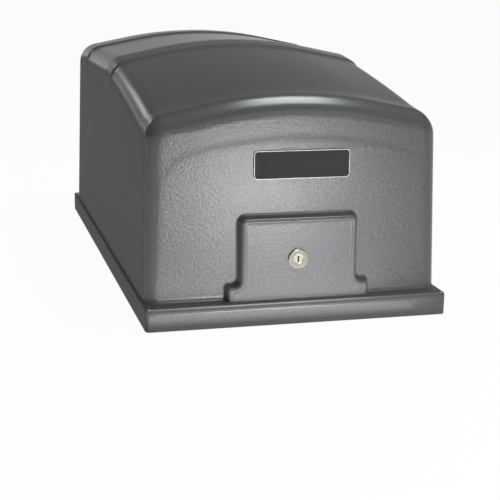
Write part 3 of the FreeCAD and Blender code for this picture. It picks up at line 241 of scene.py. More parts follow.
def head_tree(name, sides, recess):
    """Geometry nodes that set a washer and a chamfered head on each point, turned as it faces."""
    tree = bpy.data.node_groups.new(name, "GeometryNodeTree")
    given = {"Places": "Geometry"} | {size: "Float" for size in HEAD_SIZES} | {"Metal": "Material"}
    for label, kind in given.items():
        tree.interface.new_socket(label, in_out="INPUT", socket_type=f"NodeSocket{kind}")
    tree.interface.new_socket("Fasteners", in_out="OUTPUT", socket_type="NodeSocketGeometry")
    nodes = Nodes(tree)
    places = nodes.add("NodeGroupInput", {}, {}, "Places")
    washer_sides = 24
    chamfer, chamfer_top = 0.25, 0.84
    lip, lip_top, sink, sink_floor = 0.02, 0.6, -0.6, 0.95

    def drum(vertices, part):
        """A drum with the radius and the height of a part, and its top face."""
        radius, height = places.beside(part + " Radius"), places.beside(part + " Height")
        sizes = {"Radius Top": radius, "Radius Bottom": radius, "Depth": height}
        mesh = nodes.add("GeometryNodeMeshCone", {}, {"Vertices": vertices} | sizes, "Mesh")
        return mesh, mesh.beside("Top")

    def raise_top(mesh, top, share, narrower):
        """Draws the top face up by a share of the head's height and makes it narrower."""
        height = places.beside("Head Height") * share
        drawn = {"Mesh": mesh, "Selection": top, "Offset Scale": height}
        mesh = nodes.add("GeometryNodeExtrudeMesh", {"mode": "FACES"}, drawn, "Mesh")
        top = mesh.beside("Top")
        scaled = {"Geometry": mesh, "Selection": top, "Scale": narrower}
        return nodes.add("GeometryNodeScaleElements", {}, scaled, "Geometry"), top

    head = raise_top(*drum(sides, "Head"), chamfer, chamfer_top)
    if recess:
        head = raise_top(*raise_top(*head, lip, lip_top), sink, sink_floor)
    lift = nodes.add("ShaderNodeCombineXYZ", {}, {"Z": places.beside("Washer Height")}, "Vector")
    moved = {"Geometry": head[0], "Translation": lift}
    moved = nodes.add("GeometryNodeTransform", {}, moved, "Geometry")
    washer, _ = drum(washer_sides, "Washer")
    both = nodes.add("GeometryNodeJoinGeometry", {}, {"Geometry": washer}, "Geometry")
    nodes.fill(both.socket.node.inputs["Geometry"], moved)
    vector = {"data_type": "FLOAT_VECTOR"}
    facing = nodes.add("GeometryNodeInputNamedAttribute", vector, {"Name": "facing"}, "Attribute")
    upright = {"axis": "Z"}
    turned = nodes.add("FunctionNodeAlignRotationToVector", upright, {"Vector": facing}, "Rotation")
    copies = {"Points": places, "Instance": both, "Rotation": turned}
    copies = nodes.add("GeometryNodeInstanceOnPoints", {}, copies, "Instances")
    solid = nodes.add("GeometryNodeRealizeInstances", {}, {"Geometry": copies}, "Geometry")
    plated = {"Geometry": solid, "Material": places.beside("Metal")}
    plated = nodes.add("GeometryNodeSetMaterial", {}, plated, "Geometry")
    nodes.add("NodeGroupOutput", {}, {"Fasteners": plated})
    return tree


def fasten(name, tree, node, metal, head, washer, way, places):
    """Puts fasteners that all face one way on a node's body. Sizes and places are millimetres."""
    mesh = bpy.data.meshes.new(name)
    mesh.from_pydata([tuple(part / 1000 for part in place) for place in places], [], [])
    facing = mesh.attributes.new("facing", "FLOAT_VECTOR", "POINT")
    facing.data.foreach_set("vector", list(way) * len(places))
    points = bpy.data.objects.new(name + "_places", mesh)
    bpy.context.scene.collection.objects.link(points)
    maker = points.modifiers.new("fasteners", "NODES")
    maker.node_group = tree
    sizes = dict(zip(HEAD_SIZES, head + washer))
    for socket in tree.interface.items_tree:
        if socket.name in sizes:
            maker[socket.identifier] = sizes[socket.name] / 1000
        elif socket.name == "Metal":
            maker[socket.identifier] = metal
    made = points.evaluated_get(bpy.context.evaluated_depsgraph_get())
    solid = bpy.data.meshes.new_from_object(made)
    bpy.data.objects.remove(points)
    keep_piece(name, solid, body_of(node), slot_of(node))


UP = (0, 0, 1)
hex_head = head_tree("hex_head", sides=6, recess=False)
dress("deck_plate", zinc, edge=0.0008)
dress("lock_keeper", zinc, edge=0.0006)
fasten(
    "deck_bolts", hex_head, "deck_plate", zinc, head=(7.5, 5.3), washer=(9, 1.6), way=UP,
    places=[(x, y, 55) for x in (-150, 150) for y in (-229, -40, 300)],
)
fasten(
    "keeper_screws", hex_head, "lock_keeper", zinc, head=(4, 2.8), washer=(4.8, 0.8), way=UP,
    places=[(24, -316, 58), (35, -316, 58)],
)


# Worm reducer: a cast iron case with a lid and two worm caps, painted blue-grey over the casting.
# The bearings, the bronze wheel and the ground worm are shut in, and the output shaft stands out.
# Hex bolts hold its feet, and socket screws its lid and caps.

RIGHT, LEFT = (1, 0, 0), (-1, 0, 0)


def painted_casting():
    finish = Finish("painted_casting", Coat_Roughness=0.25)
    pits = finish.noise(420, 4, 0.65)
    tone = finish.noise(18, 2)
    thick, thin = (0.045, 0.065, 0.09, 1), (0.065, 0.09, 0.12, 1)
    finish.shade("Base Color", finish.between(tone, thick, thin))
    finish.shade("Roughness", 0.42 + 0.2 * pits)
    finish.shade("Coat Weight", 0.1 + 0.1 * tone)
    finish.bump(pits, strength=0.35, depth=0.0006)
    return finish.material


def turned_steel(name, stretch):
    """Steel with fine rings from the lathe, drawn out round the given axis."""
    finish = Finish(name, Metallic=1.0)
    rings = finish.stretched_noise(stretch, 900)
    finish.shade("Base Color", finish.between(rings, (0.4, 0.4, 0.4, 1), (0.56, 0.56, 0.55, 1)))
    finish.shade("Roughness", 0.2 + 0.14 * rings)
    finish.bump(rings, strength=0.1, depth=0.0001)
    return finish.material


def cut_bronze():
    finish = Finish("cut_bronze", Metallic=1.0)
    tone = finish.noise(90, 3)
    finish.shade("Base Color", finish.between(tone, (0.5, 0.33, 0.14, 1), (0.64, 0.45, 0.22, 1)))
    finish.shade("Roughness", 0.25 + 0.15 * tone)
    return finish.material


casting = painted_casting()
dress("reducer_housing", casting, edge=0.0025, segments=3)
dress("reducer_top_cover", casting, edge=0.002, segments=3)
dress("worm_caps", casting, edge=0.0015)
steel_upright = turned_steel("turned_steel_upright", stretch=(0.02, 0.02, 1))
steel_level = turned_steel("turned_steel_level", stretch=(1, 0.02, 0.02))
dress("output_shaft", steel_upright, edge=0.0008)
dress("worm_shaft", steel_level, edge=0.0004)
dress("shaft_bearings", steel_upright, edge=0.0006)
dress("worm_wheel", cut_bronze(), edge=0.0003)
socket_head = head_tree("socket_head", sides=20, recess=True)
fasten(
    "reducer_bolts", hex_head, "reducer_housing", zinc, head=(8.5, 6.4), washer=(9.6, 2), way=UP,
    places=[(x, y, 67) for x in (-89, 89) for y in (-44, 154)],
)
fasten(
    "lid_screws", socket_head, "reducer_top_cover", steel_upright,
    head=(5, 4), washer=(5.8, 0.4), way=UP,
    places=[(x, y, 173) for x in (-66, 66) for y in (4, 70, 136)],
)
for side, x, way in (("right", 93, RIGHT), ("left", -93, LEFT)):
    fasten(
        f"{side}_cap_screws", socket_head, "worm_caps", steel_level,
        head=(4, 3.2), washer=(4.6, 0.4), way=way,
        places=[(x, y, z) for y in (-36, 20) for z in (89, 145)],
    )


# Limit cams and sensors: two plated flags on the shaft's square, and two moulded sensors beside.
# The sensors sit in a bent bracket that one screw holds on the reducer's lid.


def moulded(name, colour, roughness, grain):
    """Small moulded plastic with a fine spark-eroded skin."""
    finish = Finish(name)
    skin = finish.noise(1400, 2)
    cloud = finish.noise(30, 2)
    dark = tuple(0.86 * part for part in colour) + (1,)
    finish.shade("Base Color", finish.between(cloud, dark, colour + (1,)))
    finish.shade("Roughness", roughness - 0.05 + 0.12 * skin)
    finish.bump(skin, strength=grain, depth=0.0002)
    return finish.material


sensor_blue = moulded("sensor_blue", (0.03, 0.09, 0.32), roughness=0.4, grain=0.2)
dress("limit_cams", zinc, edge=0.0005)
dress("sensor_bracket", zinc, edge=0.0004)
dress("limit_sensors", sensor_blue, edge=0.0012, segments=3)
fasten(
    "bracket_screw", hex_head, "sensor_bracket", zinc, head=(3.6, 2.6), washer=(4.4, 0.6), way=UP,
    places=[(0, 131, 175.5)],
)


# Belt drive: two turned iron pulleys and a moulded rubber belt with ribs along its inside.
# The motor's small pulley drives the large one on the worm.


def blacked_iron():
    finish = Finish("blacked_iron", Metallic=0.9)
    rings = finish.stretched_noise((1, 0.03, 0.03), 700)
    black, worn = (0.06, 0.06, 0.065, 1), (0.14, 0.14, 0.145, 1)
    finish.shade("Base Color", finish.between(rings, black, worn))
    finish.shade("Roughness", 0.3 + 0.2 * rings)
    finish.bump(rings, strength=0.2, depth=0.0002)
    return finish.material


def belt_rubber():
    finish = Finish("belt_rubber", Specular_IOR_Level=0.3)
    dust = finish.noise(160, 4)
    ribs = finish.stretched_noise((1, 0.01, 0.01), 620)
    clean, dusty = (0.012, 0.012, 0.012, 1), (0.04, 0.038, 0.035, 1)
    finish.shade("Base Color", finish.between(dust, clean, dusty))
    finish.shade("Roughness", 0.6 + 0.2 * dust)
    finish.bump(ribs, strength=0.3, depth=0.0004)
    return finish.material


iron = blacked_iron()
for pulley in ("reducer_pulley", "motor_pulley"):
    dress(pulley, iron, edge=0.001)
dress("drive_belt", belt_rubber(), edge=0.0008)


# Motor: a ribbed frame in black enamel between a die-cast end bell and a pressed fan cowl.
# It lies in a plated cradle that is bolted to the deck, with its run capacitor beside it.


def black_enamel():
    finish = Finish("black_enamel", Coat_Roughness=0.15)
    peel = finish.noise(260, 2)
    dust = finish.noise(14, 4)
    clean, dusty = (0.016, 0.016, 0.018, 1), (0.032, 0.032, 0.034, 1)
    finish.shade("Base Color", finish.between(dust, clean, dusty))
    finish.shade("Roughness", 0.3 + 0.14 * dust)
    finish.shade("Coat Weight", 0.3 - 0.15 * dust)
    finish.bump(peel, strength=0.12, depth=0.0004)
    return finish.material


def die_cast():
    finish = Finish("die_cast", Metallic=1.0)
    skin = finish.noise(500, 3)
    finish.shade("Base Color", finish.between(skin, (0.42, 0.42, 0.43, 1), (0.56, 0.56, 0.56, 1)))
    finish.shade("Roughness", 0.4 + 0.2 * skin)
    finish.bump(skin, strength=0.2, depth=0.0003)
    return finish.material


enamel = black_enamel()
capacitor_black = moulded("capacitor_black", (0.022, 0.022, 0.024), roughness=0.35, grain=0.1)
dress("motor_frame", enamel, edge=0.0008)
dress("motor_fan_cowl", enamel, edge=0.004, segments=4)
dress("motor_drive_bell", die_cast(), edge=0.003, segments=3)
dress("motor_shaft", steel_level, edge=0.0008)
dress("motor_cradle", zinc, edge=0.0008)
fasten(
    "bell_bolts", hex_head, "motor_drive_bell", zinc, head=(5.6, 4.2), washer=(6.4, 1), way=RIGHT,
    places=[(72, -160, 212), (72, -160, 88), (72, -98, 150), (72, -222, 150)],
)
fasten(
    "cradle_bolts", hex_head, "motor_cradle", zinc, head=(5.6, 4.2), washer=(6.4, 1.2), way=UP,
    places=[(x, y, 61) for x in (-50, 0) for y in (-217, -103)],
)
dress("capacitor", capacitor_black, edge=0.004, segments=4)


# Controls: a folded steel panel across the rear with the circuit board on nylon stand-offs.
# Terminal blocks and relays stand on the board, and the transformer is bolted down behind.

FORWARD = (0, -1, 0)


def solder_mask():
    finish = Finish("solder_mask", Coat_Roughness=0.1, Coat_Weight=0.4)
    glass = finish.noise(900, 2)
    squares = {"Vector": finish.place, "Scale": 110.0}
    tracks = finish.add("ShaderNodeTexVoronoi", {"distance": "MANHATTAN"}, squares, "Distance")
    copper = finish.steps(tracks, (0.36, 0.0), (0.4, 1.0))
    bare, raised = (0.006, 0.06, 0.022, 1), (0.015, 0.11, 0.04, 1)
    finish.shade("Base Color", finish.between(copper, bare, raised))
    finish.shade("Roughness", 0.3 + 0.12 * glass)
    return finish.material


def laminations():
    finish = Finish("laminations", Metallic=0.5)
    sheets = finish.stretched_noise((0.02, 1, 0.02), 900)
    gap, edge = (0.05, 0.045, 0.04, 1), (0.13, 0.12, 0.11, 1)
    finish.shade("Base Color", finish.between(sheets, gap, edge))
    finish.shade("Roughness", 0.35 + 0.25 * sheets)
    finish.bump(sheets, strength=0.4, depth=0.0004)
    return finish.material


nylon = moulded("nylon", (0.72, 0.71, 0.66), roughness=0.4, grain=0.1)
terminal_green = moulded("terminal_green", (0.012, 0.2, 0.06), roughness=0.4, grain=0.1)
relay_black = moulded("relay_black", (0.02, 0.02, 0.022), roughness=0.25, grain=0.05)
dress("control_panel", zinc, edge=0.0006)
dress("circuit_board", solder_mask(), edge=0.0002)
dress("board_standoffs", nylon, edge=0.0006)
dress("terminal_blocks", terminal_green, edge=0.0006)
dress("relays", relay_black, edge=0.0007)
dress("transformer", laminations(), edge=0.0012)
fasten(
    "panel_bolts", hex_head, "control_panel", zinc, head=(5.6, 4.2), washer=(6.4, 1), way=UP,
    places=[(x, 222, 57.5) for x in (-150, -20, 20, 150)],
)
fasten(
    "transformer_bolts", hex_head, "transformer", zinc, head=(4.6, 3.4), washer=(5.6, 0.8), way=UP,
    places=[(37.7, 284, 59), (141.7, 284, 59)],
)
fasten(
    "board_screws", socket_head, "circuit_board", zinc,
    head=(2.8, 1.8), washer=(3.2, 0.3), way=FORWARD,
    places=[(x, 193.66, z) for x in (-112, 112) for z in (93, 227)],
)
fasten(
    "clamp_screws", socket_head, "terminal_blocks", zinc,
    head=(1.8, 0.6), washer=(2.0, 0.1), way=FORWARD,
    places=[(block + x, 181.66, 112) for block in (-72, 0, 72) for x in (-25, -15, -5, 5, 15, 25)],
)


# Switch box by the lock: folded steel in grey enamel, with a rocker switch and a red reset button.
# The alarm sounder on the other side is one black moulding.


def grey_enamel():
    finish = Finish("grey_enamel", Coat_Roughness=0.2)
    peel = finish.noise(300, 2)
    finish.shade("Base Color", finish.between(peel, (0.3, 0.31, 0.32, 1), (0.36, 0.37, 0.38, 1)))
    finish.shade("Roughness", 0.35 + 0.12 * peel)
    finish.shade("Coat Weight", 0.15 + 0.1 * peel)
    finish.bump(peel, strength=0.1, depth=0.0003)
    return finish.material


rocker_black = moulded("rocker_black", (0.016, 0.016, 0.017), roughness=0.2, grain=0.05)
button_red = moulded("button_red", (0.5, 0.02, 0.012), roughness=0.25, grain=0.05)
horn_black = moulded("horn_black", (0.024, 0.024, 0.026), roughness=0.45, grain=0.3)
dress("power_box", grey_enamel(), edge=0.0006)
dress("power_rocker", rocker_black, edge=0.0005)
dress("reset_button", button_red, edge=0.0012, segments=3)
fasten(
    "box_screws", socket_head, "power_box", zinc, head=(3, 1.8), washer=(3.4, 0.3), way=FORWARD,
    places=[(x, -325.26, z) for x in (99, 162) for z in (61, 142)],
)
dress("alarm_horn", horn_black, edge=0.005, segments=4)


# Cover: one moulding of charcoal plastic, with a pebble grain on its ends and a smoother skin
# elsewhere. It has a crowned hood with a brow over each end, two low hoops, an arched front
# field, a raised panel for the lock and a rim to stand on. Its sizes are in millimetres.

WIDTH, DEPTH, WALL = 406.0, 762.0, 4.0
RIM, RIM_CORNER = 30.0, 6.0
SIDE_FOOT, SIDE_LEAN = 200.081, 0.0227
END_FOOT, END_LEAN = 354.545, 0.0415
CROWN, FLANK, SHOULDER = 575.0, 115.0, 24.0
CORNER, BROW, BROW_BLEND = 17.0, 26.0, 70.0
PEAK_Y, PEAK, BULGE = 4.0, 333.0, 3.5
FRONT_RUN, FRONT_FALL, REAR_FALL = 346, 47 / 346, 7.5 / 377
BROW_START = 250
FRONT_BROW_Y, FRONT_BROW_Z, FRONT_HOLLOW = -342.3, 289.7, 10.0
REAR_BROW_Y, REAR_BROW_Z, REAR_HOLLOW = 340.95, 327.7, 1.0
HOOPS = (-38.0, 235.0)
HOOP_WIDTH, HOOP_RISE, HOOP_EDGE, HOOP_FLARE, HOOP_FADE = 50.0, 2.5, 6.0, 0.05, 262.0
FIELD_HALF, FIELD_HEAD, FIELD_START, FIELD_CORNER = 181.0, 238.0, 120.0, 42.0
FIELD_LEAN, FIELD_EDGE = 0.004, 10
CORE_X, CORE_Y, CORE_DEPTH = 158.0, 290.0, 45.0


def ease(t):
    t = np.clip(t, 0, 1)
    return t * t * (3 - 2 * t)


def softer(first, second, width):
    """The larger of two heights, with the crease between them rounded off."""
    share = np.clip(0.5 + 0.5 * (first - second) / width, 0, 1)
    return second + (first - second) * share + width * share * (1 - share)


def hoop_share(y, start):
    """How far a hoop has risen along the depth: straight flanks with small rounds at both ends."""
    flank = np.minimum(y - start, start + HOOP_WIDTH - y) / HOOP_EDGE + 0.5
    small_round = 0.2
    return -softer(-softer(flank, 0, small_round), -1, small_round)


def crest(y):
    """The height of the hood's middle line: two slopes, a brow over each end and the hoops."""
    ahead = np.clip((PEAK_Y - y) / FRONT_RUN, 0, 1)
    front = PEAK - FRONT_FALL * (PEAK_Y - y) + 4 * BULGE * ahead * (1 - ahead)
    height = np.where(y < PEAK_Y, front, PEAK - REAR_FALL * (y - PEAK_Y))
    front_brow = FRONT_BROW_Z - END_LEAN * (y - FRONT_BROW_Y)
    rear_brow = REAR_BROW_Z - END_LEAN * (REAR_BROW_Y - y)
    brow = np.where(y < 0, front_brow, rear_brow)
    hollow = np.where(y < 0, FRONT_HOLLOW, REAR_HOLLOW)
    height = np.where(np.abs(y) > BROW_START, softer(height, brow, hollow), height)
    return height + HOOP_RISE * sum(hoop_share(y, start) for start in HOOPS)


def crown_drop(x):
    """How far the crown is below its middle line: an arc that runs straight on to the shoulders."""
    near = np.minimum(np.abs(x), FLANK)
    level = np.sqrt(CROWN**2 - near**2)
    return CROWN - level + (np.abs(x) - near) * near / level


def round_join(first, second, radius):
    """Where two faces meet in a round edge: below zero inside."""
    a, b = np.maximum(first + radius, 0), np.maximum(second + radius, 0)
    return np.where((a > 0) | (b > 0), np.hypot(a, b) - radius, np.maximum(first, second))


def field_rise(x, z):
    """How far the arched field stands out of the front wall, because it leans less than it."""
    arch = np.hypot(x, z - FIELD_HEAD + CROWN) - CROWN
    edge = round_join(np.abs(x) - FIELD_HALF, arch, FIELD_CORNER)
    return softer(FIELD_LEAN * (z - FIELD_START), 0, 0.3) * ease(0.5 - edge / FIELD_EDGE)


def hood_face(p, inset):
    """How far points are outside the hood's skin, or its inside skin where an inset is given."""
    x, y, z = p[..., 0], p[..., 1], p[..., 2]
    drop = crown_drop(x)
    top = (z - crest(y) + drop) * (1 - drop / CROWN) + inset
    hoops = sum(hoop_share(y, start) for start in HOOPS)
    swell = hoops * HOOP_FLARE * np.maximum(z - HOOP_FADE, 0)
    side = np.abs(x) - SIDE_FOOT + SIDE_LEAN * z - swell + inset
    end = np.abs(y) - END_FOOT + END_LEAN * z - np.where(y < 0, field_rise(x, z), 0) + inset
    bend = CORNER + (BROW - CORNER) * ease(0.5 + (top - side) / BROW_BLEND)
    return round_join(round_join(top, side, SHOULDER - inset), end, bend - inset)


def reach(core, way, inset):
    """The points where rays from the core meet the hood's skin, found by halving."""
    longest, halvings = 140.0, 36
    near, far = np.zeros(core.shape[:-1]), np.full(core.shape[:-1], longest)
    for _ in range(halvings):
        middle = (near + far) / 2
        out = hood_face(core + way * middle[..., None], inset) > 0
        near, far = np.where(out, near, middle), np.where(out, middle, far)
    return core + way * near[..., None]


def spread(stops, step):
    """Places from stop to stop, evenly spaced and no further apart than a step."""
    places = [stops[0]]
    for a, b in zip(stops, stops[1:]):
        count = max(1, math.ceil((b - a) / step))
        places += [a + (b - a) * k / count for k in range(1, count + 1)]
    return np.array(places)


def hoop_stops():
    """Places along the depth that catch the rounds at the edges of the hoops."""
    beside_edge = (-0.75, -0.6, -0.5, -0.4, -0.2, 0.2, 0.4, 0.5, 0.6, 0.75)
    edges = [edge for start in HOOPS for edge in (start, start + HOOP_WIDTH)]
    return sorted(edge + HOOP_EDGE * share for edge in edges for share in beside_edge)


def corner_path():
    """Round a corner from side to end: where the hood is met, the rim's edge and how it faces."""
    side, end = 195.6, 346.2
    path = []
    for y, rim_y in ((313.0, 325.0), (321.0, 348.0)):
        path.append(((side, y), (WIDTH / 2, rim_y), (1, 0)))
    for turn in np.radians(np.linspace(0, 90, 11)):
        face = np.array([math.cos(turn), math.sin(turn)])
        hood = np.array([side, end]) - CORNER + face * CORNER
        rim = np.array([WIDTH, DEPTH]) / 2 - RIM_CORNER + face * RIM_CORNER
        path.append((hood, rim, face))
    for x, rim_x in ((173.0, 186.0), (165.0, 172.0)):
        path.append(((x, end), (rim_x, DEPTH / 2), (0, 1)))
    return path


def stations(across, along):
    """All round the core: where rays leave it, their way, the rim's edge and the way it faces."""
    spots, ways, rims, faces = [], [], [], []

    def straight(line, face):
        for x, y in line:
            spots.append((x, y))
            ways.append(face)
            rims.append((x, face[1] * DEPTH / 2) if face[1] else (face[0] * WIDTH / 2, y))
            faces.append(face)

    def corner(sign, path):
        start = np.array([CORE_X, CORE_Y])
        for hood, rim, face in path:
            way = np.array(hood) - start
            spots.append(start * sign)
            ways.append(way / np.linalg.norm(way) * sign)
            rims.append(np.array(rim) * sign)
            faces.append(np.array(face) * sign)

    straight([(x, -CORE_Y) for x in across], (0, -1))
    corner(np.array([1, -1]), corner_path()[::-1])
    straight([(CORE_X, y) for y in along], (1, 0))
    corner(np.array([1, 1]), corner_path())
    straight([(x, CORE_Y) for x in across[::-1]], (0, 1))
    corner(np.array([-1, 1]), corner_path()[::-1])
    straight([(-CORE_X, y) for y in along[::-1]], (-1, 0))
    corner(np.array([-1, -1]), corner_path())
    return [np.array(list(map(tuple, part)), dtype=float) for part in (spots, ways, rims, faces)]


def cover_rows(spots, ways, rims, faces):
    """Rows of points from the top of the hood's outside round the rim and up its inside."""
    count = len(spots)
    up = np.array([0.0, 0.0, 1.0])
    level = np.column_stack([ways, np.zeros(count)])
    out = np.column_stack([faces, np.zeros(count)])
    head = crest(spots[:, 1]) - crown_drop(spots[:, 0]) - CORE_DEPTH
    core = np.column_stack([spots, head])
    ends = np.abs(faces[:, 1:])
    ledge_round, fillet = 3 + 5 * ends, 0.5 + 3.5 * ends
    outer_rises = [86, 82, 79, 77.5, *np.arange(76.6, 71.9, -0.45), 71, 69.5]
    outer_rises += [*np.arange(67.5, 2, -2.5)]
    inner_rises = [84, 75, 65, 55, 45, 35, 25, 15, 5]

    def fan(inset, rises):
        rays = [level * math.cos(rise) + up * math.sin(rise) for rise in np.radians(rises)]
        return [reach(core, ray, inset) for ray in rays]

    def wall(inset, foot, number):
        heights = [head + (foot - head) * share for share in np.linspace(0, 1, number)]
        return [reach(np.column_stack([spots, height]), level, inset) for height in heights]

    def rim_row(inset, z):
        return np.column_stack([rims - faces * inset, np.full(count, 0.0) + np.ravel(z)])

    rows = fan(0, outer_rises) + wall(0, RIM + fillet[:, 0], 56)
    foot = reach(np.column_stack([spots, np.full(count, RIM)]), level, 0)
    for turn in np.radians([22.5, 45, 67.5, 90]):
        rows.append(foot + out * fillet * (1 - math.cos(turn)) + up * fillet * (1 - math.sin(turn)))
    for turn in np.radians([0, 15, 30, 45, 60, 75, 90]):
        inset, drop = ledge_round * (1 - math.sin(turn)), ledge_round * (1 - math.cos(turn))
        rows.append(rim_row(inset, RIM - drop))
    rim_outside = [(0, 16), (0, 8), (0, 1), (0.3, 0.3), (1, 0)]
    rim_inside = [(WALL - 0.5, 0), (WALL, 0.5), (WALL, RIM - WALL)]
    rows += [rim_row(inset, z) for inset, z in rim_outside + rim_inside]
    return rows + wall(WALL, RIM - WALL, 12)[::-1] + fan(WALL, inner_rises)[::-1]


def crown_grid(across, along, inset):
    """The top of the hood inside the fans, straight above the core."""
    x, y = np.meshgrid(across, along, indexing="ij")
    head = crest(y) - crown_drop(x) - CORE_DEPTH
    return reach(np.stack([x, y, head], -1), np.array([0.0, 0.0, 1.0]), inset)


def bands(rows, around):
    """Four-sided faces between rows of points that each run all the way round."""
    skin = []
    for row in range(rows - 1):
        for here in range(around):
            there = (here + 1) % around
            low, high = row * around, (row + 1) * around
            skin.append((low + here, low + there, high + there, high + here))
    return skin


def cover_shell_mesh():
    across = spread([-CORE_X, CORE_X], 4.2)
    along = spread([-CORE_Y] + hoop_stops() + [CORE_Y], 13)
    spots, ways, rims, faces = stations(across, along)
    rows = cover_rows(spots, ways, rims, faces)
    caps = [crown_grid(across, along, 0), crown_grid(across, along, WALL)]
    points = np.concatenate([np.concatenate(rows)] + [cap.reshape(-1, 3) for cap in caps])
    around = len(spots)
    skin = bands(len(rows), around)
    wide, long = len(across), len(along)
    column = {round(x, 4): i for i, x in enumerate(across)}
    line = {round(y, 4): j for j, y in enumerate(along)}
    for cap, row in ((0, 0), (1, len(rows) - 1)):
        first = len(rows) * around + cap * wide * long
        for i in range(wide - 1):
            for j in range(long - 1):
                a = first + i * long + j
                skin.append((a, a + long, a + long + 1, a + 1))
        edge = [first + column[round(x, 4)] * long + line[round(y, 4)] for x, y in spots]
        for here in range(around):
            there = (here + 1) % around
            ring = (row * around + here, row * around + there, edge[there], edge[here])
            skin.append(tuple(dict.fromkeys(ring)))
    return points, skin


def bent_outline(corners, count=8):
    """The points of a closed outline with round corners, which hold x, z and a radius each."""
    points = []
    total = len(corners)
    for number, (x, z, radius) in enumerate(corners):
        here = np.array([x, z])
        before = np.array(corners[number - 1][:2]) - here
        after = np.array(corners[(number + 1) % total][:2]) - here
        before, after = before / np.linalg.norm(before), after / np.linalg.norm(after)
        half = math.acos(np.clip(before @ after, -1, 1)) / 2
        inward = (before + after) / np.linalg.norm(before + after)
        middle = here + inward * radius / math.sin(half)
        start = here + before * radius / math.tan(half) - middle
        finish = here + after * radius / math.tan(half) - middle
        for k in range(count):
            share = k / (count - 1)
            ray = start * (1 - share) + finish * share
            points.append(middle + ray / np.linalg.norm(ray) * radius)
    return np.array(points)


def lock_panel_mesh():
    """The raised panel round the lock: drafted sides, a round edge and a slightly sunk face."""
    centre, half, foot_half, head, shoulder, foot = 2.5, 80.0, 97.0, 139.5, 50.5, 26.5
    foot_round, shoulder_round, neck_round, head_round, least_round = 0.3, 5.5, 7.5, 9.5, 0.6
    face_y, face_lean, lock_z = -365.3, 0.03, 83.5
    run_out, draft, edge, sunk, buried = 2.4, 2.2, 4.0, 0.8, 0.4
    rows = []

    def row(shrink, depth, rise):
        """A ring moved in by a shrink and back by a depth, from the wall (0) to the face (1)."""
        wide, broad, low, high = half - shrink, foot_half - shrink, shoulder - shrink, head - shrink
        right = [
            (broad, foot, foot_round),
            (broad, low, max(shoulder_round - shrink, least_round)),
            (wide, low, neck_round + shrink),
            (wide, high, max(head_round - shrink, least_round)),
        ]
        left = [(-x, z, radius) for x, z, radius in reversed(right)]
        x, z = bent_outline([(x + centre, z, radius) for x, z, radius in right + left]).T
        wall = -(END_FOOT - END_LEAN * z) - field_rise(x, z)
        face = face_y + face_lean * (z - lock_z)
        rows.append(np.column_stack([x, wall * (1 - rise) + face * rise + depth, z]))

    row(-run_out, buried, 0)
    for turn in np.radians([0, 22.5, 45, 67.5, 90]):
        row(-run_out * (1 - math.sin(turn)), -run_out * (1 - math.cos(turn)), 0)
    for turn in np.radians([0, 15, 30, 45, 60, 75, 90]):
        row(draft + edge * (1 - math.cos(turn)), edge * (1 - math.sin(turn)), 1)
    for shrink, depth in ((2.0, 0.0), (2.3, 0.1), (2.9, sunk - 0.1), (3.2, sunk), (4.5, sunk)):
        row(draft + edge + shrink, depth, 1)
    around, last = len(rows[0]), len(rows) - 1
    ends = [tuple(range(around)), tuple(range(last * around, (last + 1) * around))]
    return np.concatenate(rows), ends + bands(len(rows), around)


def charcoal_moulding():
    """Pebble-grained plastic. The mesh says how much grain a place has, and where it is matt."""
    finish = Finish("charcoal_moulding", IOR=1.47)
    grained = finish.add("ShaderNodeAttribute", {"attribute_name": "grain"}, {}, "Fac")
    matt = finish.add("ShaderNodeAttribute", {"attribute_name": "matt"}, {}, "Fac")
    pebble = finish.noise(470, 3, 0.6)
    rounded = {"Vector": finish.place, "Scale": 360.0, "Smoothness": 0.7}
    cells = finish.add("ShaderNodeTexVoronoi", {"feature": "SMOOTH_F1"}, rounded, "Distance")
    cloud = finish.noise(9, 3)
    speckle = finish.steps(pebble, (0.34, 0.0), (0.66, 1.0))
    smooth = finish.between(cloud, (0.066, 0.069, 0.07, 1), (0.079, 0.082, 0.083, 1))
    coarse = finish.between(speckle, (0.05, 0.049, 0.053, 1), (0.092, 0.09, 0.096, 1))
    finish.shade("Base Color", finish.between(grained, smooth, coarse))
    finish.shade("Roughness", 0.22 + 0.05 * grained + 0.5 * matt + 0.04 * pebble)
    relief = (pebble + 0.6 * cells) * (0.03 + 0.97 * grained)
    finish.bump(relief, strength=0.5, depth=0.0004)
    return finish.material


def cover_mesh():
    """Shell and lock panel, with grain where a face looks along y and a matt skin along x."""
    end_start, end_fade = 0.955, 0.04
    side_matt, rim_matt, rim_top = (0.9, 0.09), (0.2, 0.3), RIM / 1000 + 0.003
    work = bmesh.new()
    grain = work.verts.layers.float.new("grain")
    matt = work.verts.layers.float.new("matt")
    for points, skin in (cover_shell_mesh(), lock_panel_mesh()):
        made = [work.verts.new(point / 1000) for point in points]
        for face in skin:
            work.faces.new([made[number] for number in face])
    work.normal_update()
    bmesh.ops.recalc_face_normals(work, faces=work.faces)
    for vert in work.verts:
        start, fade = rim_matt if vert.co.z < rim_top else side_matt
        vert[grain] = float(ease((abs(vert.normal.y) - end_start) / end_fade))
        vert[matt] = float(ease((abs(vert.normal.x) - start) / fade))
    mesh = bpy.data.meshes.new("cover")
    work.to_mesh(mesh)
    work.free()
    mesh.shade_smooth()
    mesh.set_sharp_from_angle(angle=math.radians(50))
    mesh.materials.append(charcoal_moulding())
    return mesh


keep_piece("cover", cover_mesh(), body_of("cover_shell"), slot_of("cover_shell"), "cover_shell")


# Name plate: a bare near-black plate with a satin rim, stuck on the arched field.
# It is pressed from thin sheet, so its edge is rounded over.


